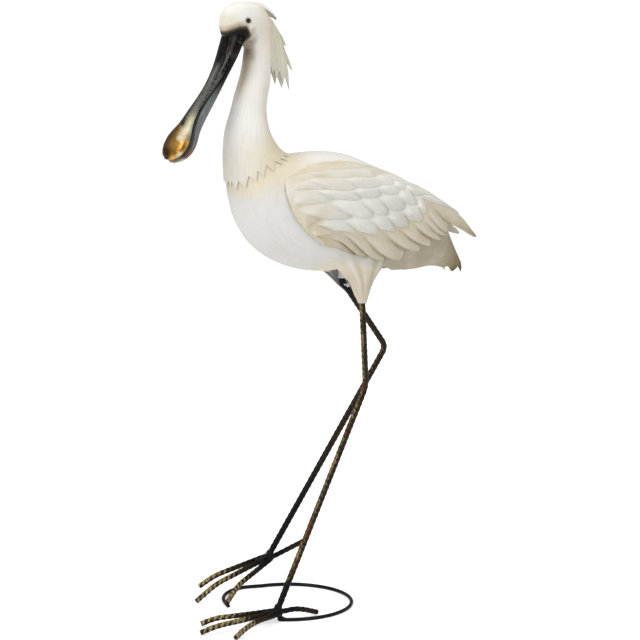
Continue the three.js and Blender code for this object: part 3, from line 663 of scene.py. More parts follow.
def new_material(name):
    material = bpy.data.materials.new(name)
    material.use_nodes = True
    tree = material.node_tree
    tree.nodes.clear()
    shader = node(tree, "ShaderNodeBsdfPrincipled")
    output = node(tree, "ShaderNodeOutputMaterial")
    join(tree, shader.outputs["BSDF"], output.inputs["Surface"])
    return material, tree, shader


def add_bump(tree, shader, height, strength, distance):
    made = node(tree, "ShaderNodeBump")
    made.inputs["Strength"].default_value = strength
    made.inputs["Distance"].default_value = distance
    join(tree, height, made.inputs["Height"])
    join(tree, made.outputs["Normal"], shader.inputs["Normal"])


def feather_paint(name, along, depth, strength, ground=WARM_WHITE, wash=CREAM, shade=TAUPE,
                  deep=(SOOT_BROWN, SOOT), groove=0.2, mottle=0.3):
    """Satin paint with its washes held in the piece's own fields."""
    material, tree, shader = new_material(name)
    place = object_place(tree)
    painted = use_group(
        tree, BRUSHED_WASH, Place=place, Ground=ground, Wash=wash, Wash_Mask=attribute(tree, "wash"),
        Shade=shade, Shade_Mask=attribute(tree, "shade"), Mottle=mottle,
    )
    strokes = use_group(tree, FEATHER_STROKES, Along=along(tree), Grain=place, Depth=depth)
    over_head = object_place(tree, (300, 40, 330), (0.25, 0, 0))
    back = use_group(tree, FEATHER_STROKES, Along=over_head, Grain=place)
    head = attribute(tree, "head")
    height = maths(tree, "MULTIPLY", strokes.outputs["Height"], maths(tree, "SUBTRACT", 1.0, head))
    height = maths(tree, "ADD", height, maths(tree, "MULTIPLY", back.outputs["Height"], head))
    grooves = maths(tree, "MULTIPLY", strokes.outputs["Groove"], maths(tree, "SUBTRACT", 1.0, head))
    grooves = maths(tree, "ADD", grooves, maths(tree, "MULTIPLY", back.outputs["Groove"], head))
    colour = mix(tree, maths(tree, "MULTIPLY", grooves, groove), painted.outputs["Color"], shade)
    # Mauve grey: partly the paint's own tone, partly painted shade
    colour = mix(tree, attribute(tree, "grey"), colour, MAUVE_GREY)
    breakup = maths(tree, "SUBTRACT", noise(tree, place, 150.0, 4.0, 0.65), 0.5)
    soot = attribute(tree, "soot")
    loose = maths(tree, "MULTIPLY", remap(tree, soot, 0.02, 0.2), remap(tree, soot, 1.0, 0.7))
    soot = maths(tree, "ADD", soot, maths(tree, "MULTIPLY", maths(tree, "MULTIPLY", breakup, 0.35), loose))
    colour = mix(tree, remap(tree, soot, 0.04, 0.5), colour, deep[0])
    colour = mix(tree, remap(tree, soot, 0.4, 0.8), colour, deep[1])
    # Painted highlights, toward warm white
    colour = mix(tree, attribute(tree, "rim"), colour, WARM_WHITE)
    colour = mix(tree, attribute(tree, "inside"), colour, INSIDE_GREY)
    join(tree, colour, shader.inputs["Base Color"])
    glossy = maths(tree, "MULTIPLY", remap(tree, soot, 0.5, 0.9), 0.16)
    join(tree, maths(tree, "SUBTRACT", painted.outputs["Roughness"], glossy), shader.inputs["Roughness"])
    shader.inputs["Specular IOR Level"].default_value = 0.2
    add_bump(tree, shader, height, strength, 0.0012)
    return material


def bar_patina(name, dark_level, rib_weight, light, rusty):
    """Black bar with olive bronze rubbed on its ribs and rusty brown between; the bronze is also laid on
    the bar's lit side as a painted highlight.
    """
    material, tree, shader = new_material(name)
    place = object_place(tree)
    patches = noise(tree, place, 26.0, 4.0, 0.6)
    fine = noise(tree, place, 420.0, 3.0, 0.6)
    rust = noise(tree, object_place(tree, (1, 1, 0.6)), 55.0, 3.0, 0.6)
    rib = attribute(tree, "rib")
    rub_and_painted_light = attribute(tree, "rub_and_painted_light")
    worn_and_lit = weighted(tree, (rib, rib_weight), (patches, 0.8), (fine, 0.4), (rub_and_painted_light, 0.7))
    worn_and_lit = maths(tree, "MULTIPLY", remap(tree, worn_and_lit, dark_level, dark_level + 0.3), rub_and_painted_light)
    bronze = mix(tree, remap(tree, fine, 0.38, 0.62), paint(112, 94, 50), light)
    bronze = mix(tree, remap(tree, rust, 0.5, 0.62, 0.0, rusty), bronze, paint(112, 66, 32))
    dark = mix(tree, remap(tree, fine, 0.4, 0.62), paint(15, 13, 10), paint(54, 44, 26))
    dark = mix(tree, remap(tree, rust, 0.5, 0.62, 0.0, rusty * 0.6), dark, paint(70, 40, 22))
    dark = mix(tree, attribute(tree, "black"), dark, paint(11, 10, 10))
    join(tree, mix(tree, worn_and_lit, dark, bronze), shader.inputs["Base Color"])
    join(tree, remap(tree, worn_and_lit, 0.0, 1.0, 0.1, 0.55), shader.inputs["Metallic"])
    join(tree, remap(tree, fine, 0.3, 0.7, 0.34, 0.54), shader.inputs["Roughness"])
    shader.inputs["Specular IOR Level"].default_value = 0.2
    add_bump(tree, shader, fine, 0.3, 0.0006)
    return material


def bill_paint(name, ground, streak, leaf):
    """Charcoal or slate lacquer with dry-brushed streaks, bronze leaf, pale paint with painted highlights,
    and brown with painted shade, where the fields ask.
    """
    material, tree, shader = new_material(name)
    place = object_place(tree)
    streaks = noise(tree, flow_place(tree, (300, 22, 1)), 1.0, 3.0, 0.6, 0.4)
    speckle = noise(tree, place, 380.0, 4.0, 0.7)
    breakup = maths(tree, "MULTIPLY", maths(tree, "SUBTRACT", speckle, 0.5), 0.7)
    colour = mix(tree, remap(tree, streaks, 0.54, 0.72, 0.0, 0.8), ground, streak)
    colour = mix(tree, remap(tree, speckle, 0.58, 0.76, 0.0, 0.25), colour, paint(120, 116, 104))
    # Pale paint, with painted highlights and reflections, over the lacquer
    pale_paint_and_highlights = remap(tree, maths(tree, "ADD", attribute(tree, "pale_paint_and_highlights"), breakup), 0.2, 0.95)
    if leaf:
        gold = remap(tree, maths(tree, "ADD", attribute(tree, "gold"), breakup), 0.3, 0.8)
        cloudy = noise(tree, place, 45.0, 3.0)
        bronze = mix(tree, remap(tree, cloudy, 0.35, 0.65), paint(176, 120, 40), paint(236, 190, 104))
        # Painted shade in brown on the leaf
        bronze = mix(tree, attribute(tree, "brown_and_painted_shade"), bronze, paint(74, 38, 6))
        colour = mix(tree, gold, colour, bronze)
        silver = mix(tree, attribute(tree, "cream"), paint(158, 158, 152), paint(226, 218, 184))
        colour = mix(tree, pale_paint_and_highlights, colour, silver)
        metal = maths(tree, "MULTIPLY", gold, maths(tree, "SUBTRACT", 1.0, pale_paint_and_highlights))
        join(tree, remap(tree, metal, 0.0, 1.0, 0.03, 0.65), shader.inputs["Metallic"])
    else:
        colour = mix(tree, attribute(tree, "gold"), paint(21, 20, 21), colour)
        colour = mix(tree, attribute(tree, "brown_and_painted_shade"), colour, paint(150, 86, 34))
        colour = mix(tree, pale_paint_and_highlights, colour, paint(206, 200, 190))
    join(tree, colour, shader.inputs["Base Color"])
    join(tree, remap(tree, speckle, 0.3, 0.7, 0.24, 0.38), shader.inputs["Roughness"])
    shader.inputs["Specular IOR Level"].default_value = 0.14
    add_bump(tree, shader, weighted(tree, (streaks, 0.7), (speckle, 0.15)), 0.3, 0.0012)
    return material


def plain_finish(name, ground, other, roughness, metallic=0.0, specular=0.4):
    material, tree, shader = new_material(name)
    place = object_place(tree)
    cloudy = noise(tree, place, 90.0, 4.0)
    fine = noise(tree, place, 700.0, 3.0)
    join(tree, mix(tree, remap(tree, cloudy, 0.4, 0.65), ground, other), shader.inputs["Base Color"])
    join(tree, remap(tree, fine, 0.3, 0.7, roughness - 0.08, roughness + 0.1), shader.inputs["Roughness"])
    shader.inputs["Metallic"].default_value = metallic
    shader.inputs["Specular IOR Level"].default_value = specular
    add_bump(tree, shader, fine, 0.2, 0.0004)
    return material


BODY_PAINT = feather_paint(
    "body_paint", lambda tree: object_place(tree, (260, 26, 60), (0.35, 0, 0)), 0.5, 0.12,
    ground=BODY_WHITE, deep=(OLIVE_BROWN, OLIVE_DARK), groove=0.08,
)
NECK_PAINT = feather_paint(
    "neck_paint", lambda tree: flow_place(tree, (330, 38, 1)), 0.6, 0.3,
    shade=paint(180, 164, 136), groove=0.1,
)
WING_PAINT = feather_paint(
    "wing_paint", lambda tree: flow_place(tree, (420, 60, 1)), 0.8, 0.3, ground=WING_WHITE,
    wash=paint(222, 208, 176), shade=paint(160, 148, 122), groove=0.12,
)
CREST_PAINT = feather_paint(
    "crest_paint", lambda tree: object_place(tree, (100, 420, 40), (-0.22, 0, 0)), 1.0, 0.5,
    wash=paint(222, 216, 192), shade=paint(168, 166, 146), groove=0.25,
)
# Cut edges: brown paint with painted shadow on the collar's edge, and painted shadow alone on the crest
# plates' edges
CUT_EDGE_BROWN_AND_SHADOW = plain_finish("cut_edge_brown_and_shadow", paint(92, 70, 46), paint(62, 46, 30), 0.6)
CUT_EDGE_SHADOW = plain_finish("cut_edge_grey", paint(112, 108, 92), paint(72, 68, 56), 0.6)
BILL_DARK = bill_paint("bill_charcoal", paint(13, 11, 12), paint(92, 91, 84), True)
BILL_GREY = bill_paint("bill_slate", paint(112, 116, 118), paint(146, 150, 148), False)
LEG_PATINA = bar_patina("leg_patina", 1.2, 0.12, paint(180, 158, 104), 0.85)
TOE_PATINA = bar_patina("toe_patina", 1.27, 0.5, paint(226, 206, 146), 0.4)
RING_BLACK = plain_finish("ring_black", paint(10, 11, 12), paint(26, 27, 29), 0.34, 0.1, 0.26)
WELD_BLACK = plain_finish("weld_black", paint(9, 9, 10), paint(24, 23, 23), 0.34, 0.1, 0.26)
SOCKET_WHITE = plain_finish("socket_white", paint(226, 226, 224), paint(208, 208, 204), 0.5)
EYE_BLACK = plain_finish("eye_black", paint(9, 8, 8), paint(22, 18, 14), 0.12)


# The bird's form
def fan_points(rows, u, phi):
    read = read_table(rows, u)
    ty, tz, by, bz, width = (read[..., k] for k in range(5))
    c, s = np.cos(phi), np.sin(phi)
    return np.stack([
        width * np.sign(s) * np.abs(s) ** SECTION_ROUNDNESS,
        (ty + by) / 2 + (ty - by) / 2 * c,
        (tz + bz) / 2 + (tz - bz) / 2 * c,
    ], -1)


def fan_offset(u, phi, distance):
    u, phi, distance = (np.asarray(v, float) for v in np.broadcast_arrays(u, phi, distance))
    turn = np.mod(phi, 2 * PI)
    side = np.where(turn > PI, -1.0, 1.0)
    turn = np.where(turn > PI, 2 * PI - turn, turn)
    step = 0.02
    margin = 0.03
    edge = np.sin(turn) < margin
    at = np.clip(turn, margin, PI - margin)
    mid = np.clip(u, 0.05, len(SECTIONS) - 1.05)
    along = fan_points(SECTIONS, mid + step, at) - fan_points(SECTIONS, mid - step, at)
    round_it = fan_points(SECTIONS, mid, at + step) - fan_points(SECTIONS, mid, at - step)
    normal = np.cross(round_it, along)
    normal[..., 0] = np.where(edge, 0.0, normal[..., 0])
    normal /= np.maximum(np.linalg.norm(normal, axis=-1, keepdims=True), 1e-9)
    points = fan_points(SECTIONS, u, turn) + normal * distance[..., None]
    points[..., 0] *= side
    return points


def fan_place(rows, y, z, low=0.0):
    """Section number, place from belly (-1) to back (1) and half width, of points in side view."""
    low = np.full(np.shape(y), low)
    high = np.full(np.shape(y), float(len(rows) - 1))
    for _ in range(HALVINGS):
        middle = (low + high) / 2
        read = read_table(rows, middle)
        ty, tz, by, bz = (read[..., k] for k in range(4))
        inside = (by - ty) * (z - tz) - (bz - tz) * (y - ty) > 0
        low = np.where(inside, middle, low)
        high = np.where(inside, high, middle)
    u = (low + high) / 2
    read = read_table(rows, u)
    ty, tz, by, bz = (read[..., k] for k in range(4))
    hy, hz = (ty - by) / 2, (tz - bz) / 2
    c = ((y - (ty + by) / 2) * hy + (z - (tz + bz) / 2) * hz) / (hy * hy + hz * hz)
    return u, c, read[..., 4]


# Body: both pressed halves, hollow, open under the belly
def thigh_half_length(z):
    heights = THIGH_PROFILE[:, 0]
    at = np.interp(-z, -heights, np.arange(len(heights)))
    return read_table(THIGH_PROFILE, at)[..., 2]


def thigh_centre(side, z):
    return THIGH_Y + THIGH_LEAN[side] * np.maximum(0, THIGH_TOP_Z - z)


def thigh_block(side):
    sign = 1 if side == "left" else -1
    around, along = 48, 48
    levels = read_table(THIGH_PROFILE, np.linspace(0, len(THIGH_PROFILE) - 1, along + 1))

    def place(column, row):
        z, half_x, half_y = (levels[row][:, k].copy() for k in range(3))
        a = 2 * PI * column / around
        forward = np.where(np.sin(a) < 0, 3.0 * smooth(446, 462, z), 0.0)
        y = thigh_centre(side, z) + (half_y + forward) * np.sin(a)
        return np.stack([sign * THIGH_X + sign * half_x * np.cos(a), y, z], 1)

    block = grid_piece(f"thigh_{side}", around, along, place, closed=True)
    edit_all(
        block,
        lambda: bpy.ops.mesh.fill_holes(sides=0),
        lambda: bpy.ops.mesh.normals_make_consistent(inside=False),
    )
    return block


def body_form():
    around, along = 96, 96
    us = np.linspace(STUMP_AT, BODY_END_AT, along + 1)

    def place(column, row):
        return fan_points(SECTIONS, us[row], 2 * PI * column / around)

    form = grid_piece("body_form", around, along, place, closed=True)
    edit_all(
        form,
        lambda: bpy.ops.mesh.fill_holes(sides=0),
        lambda: bpy.ops.mesh.normals_make_consistent(inside=False),
    )
    return form


def delete_faces(obj, gone):
    pick(obj)
    bpy.ops.object.mode_set(mode="EDIT")
    bpy.ops.mesh.select_mode(type="FACE")
    bpy.ops.mesh.select_all(action="DESELECT")
    bpy.ops.object.mode_set(mode="OBJECT")
    obj.data.polygons.foreach_set("select", gone)
    bpy.ops.object.mode_set(mode="EDIT")
    bpy.ops.mesh.delete(type="FACE")
    bpy.ops.mesh.select_mode(type="VERT")
    bpy.ops.object.mode_set(mode="OBJECT")


def pleats(x, y, z):
    """How far each point of the thighs is pressed out or in, from -1 to 1."""
    total = np.zeros_like(x)
    half_y = thigh_half_length(z)
    for side, sign in (("left", 1), ("right", -1)):
        q = (y - thigh_centre(side, z)) / half_y
        near = smooth(1.5, 0.9, np.abs(q)) * smooth(536, 506, z) * (x * sign > 12)
        pleat = np.cos(q * 10.5 + 0.5) * 0.6 + 0.4 * np.cos(q * 17.0 + 1.0 + 0.03 * z)
        total = total + near * pleat * smooth(450, 476, z)
    return total


def press_thighs(body):
    p = bird_points(body)
    p[:, 0] += np.sign(p[:, 0]) * 1.2 * pleats(*p.T)
    move_corners(body, p)


def oblong(half, near_y, far_y):
    return [(-half, near_y), (half, near_y), (half, far_y), (-half, far_y)]


def make_body():
    form = body_form()
    thighs = [thigh_block(side) for side in ("left", "right")]
    form_tree = tree_of(form)
    thigh_trees = [tree_of(thigh) for thigh in thighs]
    body = join_pieces("body_sheet", [form, *thighs])
    apply_modifier(body, "REMESH", mode="VOXEL", voxel_size=BODY_VOXEL)

    # The clean form is taken up again away from the thighs, and the thigh roots are filleted
    points = corners(body)
    to_form = distances(form_tree, points)
    to_thigh = np.minimum(*(distances(tree, points) for tree in thigh_trees))
    for i in np.nonzero((to_form < FORM_WITHIN) & (to_thigh > THIGH_BEYOND))[0]:
        points[i] = form_tree.find_nearest(Vector(points[i]))[0]
    body.data.vertices.foreach_set("co", points.ravel())
    fillet = body.vertex_groups.new(name="fillet")
    near = np.exp(-((np.maximum(to_form, to_thigh) / FILLET_REACH) ** 2))
    for i in np.nonzero(near > 0.02)[0]:
        fillet.add([int(i)], float(near[i]), "REPLACE")
    apply_modifier(body, "SMOOTH", factor=0.5, iterations=FILLET_ROUNDS, vertex_group="fillet")
    apply_modifier(body, "SMOOTH", factor=0.5, iterations=3)
    press_thighs(body)

    # Openings: belly between the thighs, the thighs' inner sides and mouths, the saw-tooth tail
    sides = 64
    around = [2 * PI * k / sides for k in range(sides)]
    belly = [(BELLY_HALF[0] * math.cos(a), BELLY_CENTRE_Y + BELLY_HALF[1] * math.sin(a)) for a in around]
    cut(
        body,
        prism("belly_cut", belly, "Z", *BELLY_HEIGHTS),
        prism("slot_cut", oblong(*THIGH_SLOT), "Z", *THIGH_SLOT_HEIGHTS),
        prism("mouth_cut", oblong(*THIGH_MOUTH), "Z", *THIGH_MOUTH_HEIGHTS),
        prism("tail_cut", TAIL_CUT, "X", -40, 40),
    )
    delete_faces(body, [face.material_index == 1 for face in body.data.polygons])
    merge(body, 1e-5)
    outer = len(body.data.vertices)
    apply_modifier(body, "SOLIDIFY", thickness=SHEET / 1000, offset=-1.0, use_even_offset=False)
    paint_body(body, outer)
    smooth_faces(body, 50)
    finish_piece(body, BODY_PAINT, "white_paint", "body_left", "body_right")


def paint_body(body, outer):
    x, y, z = bird_points(body).T
    inside = (np.arange(len(x)) >= outer).astype(float)
    u, c, _ = fan_place(SECTIONS, y, z, BODY_READ_FROM)
    thigh = smooth(512, 480, z) * smooth(26, 12, np.abs(np.abs(x) - THIGH_X))
    thigh = thigh * smooth(62, 30, np.abs(y - 125))

    # Tan washes at the collar's foot, on the breast, along the belly and toward the tail
    wash = 0.9 * smooth(19.6, 17.2, u) * smooth(-0.9, 0.1, c)
    wash = wash + 0.3 * smooth(22.5, 18.0, u) * smooth(0.1, 0.8, c)
    wash = wash + 0.6 * smooth(604, 636, z) * smooth(-45, -85, y) + 0.2 * smooth(270, 320, y)
    wash = wash + 0.6 * smooth(18.4, 17.0, u) + 0.85 * smooth(-0.62, -0.95, c) * smooth(10, 75, y)
    wash = wash + 0.45 * smooth(130, 240, y) + 0.04 * thigh

    # Taupe and painted shadow on the rear flank under the wing, a darker tone on the thighs, and painted
    # shade in their pleats
    under_wing_taupe_and_shadow = smooth(100, 165, y) * smooth(0.95, 0.3, c)
    shade = 0.95 * under_wing_taupe_and_shadow * (1 - 0.75 * thigh) + 0.24 * thigh
    shade = shade + 0.14 * smooth(0.1, -0.8, c) * smooth(-20, 60, y)
    folds = pleats(x, y, z)
    # Taupe toward the tail, and painted shade in the pleats' recesses
    shade = shade + 0.3 * smooth(240, 300, y) + 0.2 * np.clip(-folds, 0, 1)
    wash = wash + 0.25 * np.clip(-folds, 0, 1)
    olive = 0.5 * smooth(262, 326, y + 0.25 * (500 - z)) + 0.2 * smooth(486, 470, z) * smooth(270, 315, y)
    # Painted shade on the thighs' rear sides and along the lower side of the body
    shade = shade + 0.4 * smooth(112, 128, y) * smooth(496, 476, z) * smooth(200, 150, y)
    shade = shade + 0.12 * smooth(-0.55, -0.95, c) * smooth(60, 0, y)
    # Painted highlights on the pleats' ridges and along the top of the back behind the collar
    rim = 0.35 * np.clip(folds, 0, 1) * (1 - 0.4 * under_wing_taupe_and_shadow)
    rim = rim + 0.5 * smooth(0.55, 0.97, c) * smooth(17.6, 19.2, u)
    write_fields(body, wash=wash, shade=shade, soot=olive, inside=inside, rim=rim)


# Neck and head in one shell that ends below in the cut collar
def collar_turns():
    """Turns from the nape round the left side and back along the right, and the cut edge at each."""
    turns, edges = [0.0], [COLLAR_LINE[0][1]]
    for (t0, e0), (t1, e1) in zip(COLLAR_LINE, COLLAR_LINE[1:]):
        count = max(4, int(round((t1 - t0) / CUT_EDGE_STEP)))
        part = np.arange(1, count + 1) / count
        turns.extend(t0 + (t1 - t0) * part)
        bowed = part**1.2 if e1 > e0 else 1 - (1 - part) ** 1.2
        edges.extend(e0 + (e1 - e0) * bowed)
    turns, edges = np.array(turns), np.array(edges)
    both_sides = np.concatenate([turns, 2 * COLLAR_BREAST - turns[-2::-1]])
    return both_sides, np.concatenate([edges, edges[-2::-1]])


def make_neck():
    turns, edges = collar_turns()
    across = len(turns) - 1
    along = 150
    cap = 6
    lower = 118

    def place(column, row):
        phi = turns[column] / COLLAR_BREAST * PI
        edge = edges[column]
        upper_part = np.clip((row - cap) / (lower - cap), 0, 1)
        lower_part = np.clip((row - lower) / (along - lower), 0, 1)
        below = COLLAR_ROWS_FROM + (edge - COLLAR_ROWS_FROM) * lower_part
        u = np.where(row <= lower, COLLAR_ROWS_FROM * upper_part, below)
        lobe = (edge - 17.0) * 0.9 * smooth(0.3, 1.0, lower_part)
        points = fan_offset(u, phi, COLLAR_STANDS_OFF * smooth(*COLLAR_RISE, u) + lobe)
        shrink = np.where(row < cap, np.sin(np.clip(row, 0, cap) / cap * PI / 2), 1.0)
        centre = np.array(CROWN_CENTRE)
        domed = centre + (points - centre) * shrink[:, None]
        domed[:, 2] += 0.9 * (1 - shrink**2)
        return np.where((row < cap)[:, None], domed, points)

    neck = grid_piece("neck_sheet", across, along, place, closed=True)
    outward(neck)
    p, normals = bird_points(neck), bird_normals(neck)
    if np.sum(normals[:, 0] * np.sign(p[:, 0])) < 0:
        edit_all(neck, lambda: bpy.ops.mesh.flip_normals())
    outer = len(neck.data.vertices)
    apply_modifier(
        neck, "SOLIDIFY", thickness=SHEET / 1000, offset=-1.0, use_even_offset=False, material_offset_rim=1,
    )
    paint_neck(neck, outer)
    smooth_faces(neck, 40)
    finish_piece(neck, [NECK_PAINT, CUT_EDGE_BROWN_AND_SHADOW], "white_paint", "neck_and_head")


def paint_neck(neck, outer):
    p = bird_points(neck)
    x, y, z = p.T
    inside = (np.arange(len(x)) >= outer).astype(float)
    back = smooth(-62, -26, y)
    side_edge = smooth(14, 24, np.abs(x)) * smooth(-62, -34, y)

    # Soot in an arch over the bill's root, thinning to brown on the lores and down the throat
    arch_top = np.interp(y, [-112, -104, -97, -88, -78, -75, -72], [850, 850.5, 854, 858, 858, 854, 848])
    arch_back = np.interp(z, [822, 834, 841, 847, 853], [-81, -79, -77.5, -75, -74.5])
    away = np.maximum(z - arch_top, y - arch_back)
    core = np.interp(away, [-6, -1.5, 1.5, 6, 15], [1.0, 0.8, 0.6, 0.26, 0.0]) * smooth(818, 832, z)
    lores = 0.5 * smooth(13, 0, away) * smooth(800, 822, z)
    lores = np.maximum(lores, 0.3 * smooth(-60, -70, y) * smooth(804, 826, z) * smooth(852, 840, z))
    lores = np.maximum(lores, 0.34 * smooth(-52, -66, y) * smooth(800, 822, z) * smooth(856, 840, z))
    throat = bump_at(x, 2.5, 6 + 2.5 * smooth(790, 825, z)) * smooth(-46, -58, y) * smooth(748, 812, z)
    throat = throat * smooth(850, 838, z)
    ring = bump_at(np.linalg.norm((p - [0, EYE[1], EYE[2]])[:, 1:], axis=1), 4.3, 1.0) * (np.abs(x) > 10)
    soot = np.maximum.reduce([core, lores, 0.15 * throat, 0.3 * ring])
    collar = smooth(722, 664, z)
    face = smooth(-78, -98, y) * smooth(846, 862, z) * smooth(886, 872, z)
    wash = collar * (0.25 + 0.7 * smooth(-95, -45, y)) + 0.75 * back * smooth(800, 840, z) + 0.4 * face
    wash = wash + 0.75 * bump_at(x, 2, 12) * smooth(-46, -58, y) * smooth(735, 790, z) * smooth(850, 838, z)
    wash = wash + 0.5 * throat + 0.5 * side_edge * smooth(800, 730, z)
    wash = wash + 0.45 * smooth(20, 4, away) * (z > 800)
    # Painted shade on the back and sides of the neck, on the crown and beside the eye; on the collar, the
    # forehead and the throat line the shade is the paint's own brown
    shade = 0.1 * collar + 0.42 * side_edge * smooth(815, 740, z) * smooth(690, 735, z)
    shade = shade + 0.16 * back + 0.12 * face
    shade = shade + 0.08 * smooth(832, 868, z) + 0.2 * throat
    shade = shade + 0.04 * smooth(4, 18, np.abs(x)) * smooth(830, 800, z)
    shade = shade + 0.16 * bump_at(y, -60, 13) * bump_at(z, 862, 15) * (np.abs(x) > 10)
    # Painted grey-blue shade low on the front of the neck, and a mauve-grey cheek of the paint's own
    painted_front_shade = smooth(-72, -92, y) * smooth(776, 735, z) * smooth(655, 690, z)
    cheek = bump_at(y, -57, 9) * bump_at(z, 847, 9) * (np.abs(x) > 8)
    head = smooth(838, 856, z)
    grey = 0.08 * painted_front_shade + 0.16 * cheek
    write_fields(neck, wash=wash, shade=shade, soot=soot, inside=inside, grey=grey, head=head)
    write_flow(neck, np.arctan2(x, -(y - NECK_MIDDLE_Y)) * NECK_RADIUS, z)


# Wings: outer face with rows of small feathers and long cut blades, and a plain back
def wing_x(y, z):
    _, c, width = fan_place(WING_FAN, y, z)
    c = np.clip(c, -0.995, 0.995)
    round_it = np.sqrt(1 - c * c) ** SECTION_ROUNDNESS
    return width * np.where(c < 0, 1 - WING_TUCK * (1 - round_it), round_it)


def wing_points(y, z, height):
    step = 1.5
    slope_y = (wing_x(y + step, z) - wing_x(y - step, z)) / (2 * step)
    slope_z = (wing_x(y, z + step) - wing_x(y, z - step)) / (2 * step)
    normal = np.stack([np.ones_like(y), -np.clip(slope_y, -3, 3), -np.clip(slope_z, -3, 3)], -1)
    normal /= np.linalg.norm(normal, axis=-1, keepdims=True)
    return np.stack([wing_x(y, z), y, z], -1) + normal * (WING_CLEARANCE + height)[..., None]


def wing_flow(a, t):
    count = len(WING_TIPS)
    root = read_table(WING_ROOTS, a / count * (len(WING_ROOTS) - 1))
    first, last = WING_TIPS[0], WING_TIPS[-1]
    tips = [[first[0] - 16, first[1] + 5], *WING_TIPS, [last[0] + 4, last[1] + 5]]
    at = np.where(a < 0.5, a * 2, np.where(a > count - 0.5, count + (a - count + 0.5) * 2, a + 0.5))
    end = read_table(tips, at)
    bend = FLOW_BEND * 4 * t * (1 - t) * (1 - 0.6 * smooth(7, 10, a))
    late = np.clip((t - 0.45) / 0.55, 0, 1)
    bend = bend - TIP_BEND * late * late * (1 - late)
    y = lerp(root[..., 0], end[..., 0], t) + bend * (root[..., 1] - end[..., 1])
    z = lerp(root[..., 1], end[..., 1], t) + bend * (end[..., 0] - root[..., 0])
    return y, z, np.hypot(end[..., 0] - root[..., 0], end[..., 1] - root[..., 1])


def blade_of(a):
    """Number of the long blade at a, and the place across it from its left notch to the next."""
    number = np.clip(np.searchsorted(NOTCH_AT, a, side="right") - 1, 0, len(WING_TIPS) - 1)
    start, end = NOTCH_AT[number], NOTCH_AT[number + 1]
    return number, np.clip((a - start) / (end - start), 0, 1)


def blade_edge(a):
    """Where the long blades end: from the left notch down to the tip, then back up to the next notch."""
    number, _ = blade_of(a)
    tip = number + 0.5
    left = np.clip((tip - a) / (tip - NOTCH_AT[number]), 0, 1)
    right = np.clip((a - tip) / (NOTCH_AT[number + 1] - tip), 0, 1)
    depth = NOTCH_DEPTH[number] * left + NOTCH_DEPTH[number + 1] * right * (0.5 + 0.5 * right)
    return 1 - depth / wing_flow(a, np.ones_like(a))[2]


def row_edge(row, a):
    """Scalloped edge of one row of small feathers, and how much that row lifts there."""
    here = read_table(np.array(ROW_EDGES[row])[:, None], a)[..., 0]
    above = read_table(np.array(ROW_EDGES[row - 1])[:, None], a)[..., 0] if row else np.zeros_like(a)
    room = here - above
    local = a + ROW_SHIFT[row] - np.floor(a + ROW_SHIFT[row])
    s = np.where(local < 0.6, (0.6 - local) / 0.6, (local - 0.6) / 0.4)
    length = wing_flow(a, np.ones_like(a))[2]
    return here - np.minimum(ROW_SCALLOP[row] / length, room * 0.55) * s**1.7, smooth(0.02, 0.1, room)


def front_sink(a, t):
    """How far the upper front of the wing dips toward the body, in both of its faces."""
    return FRONT_SINK * smooth(3.9, 5.6, a) * smooth(0.16, 0.0, t)


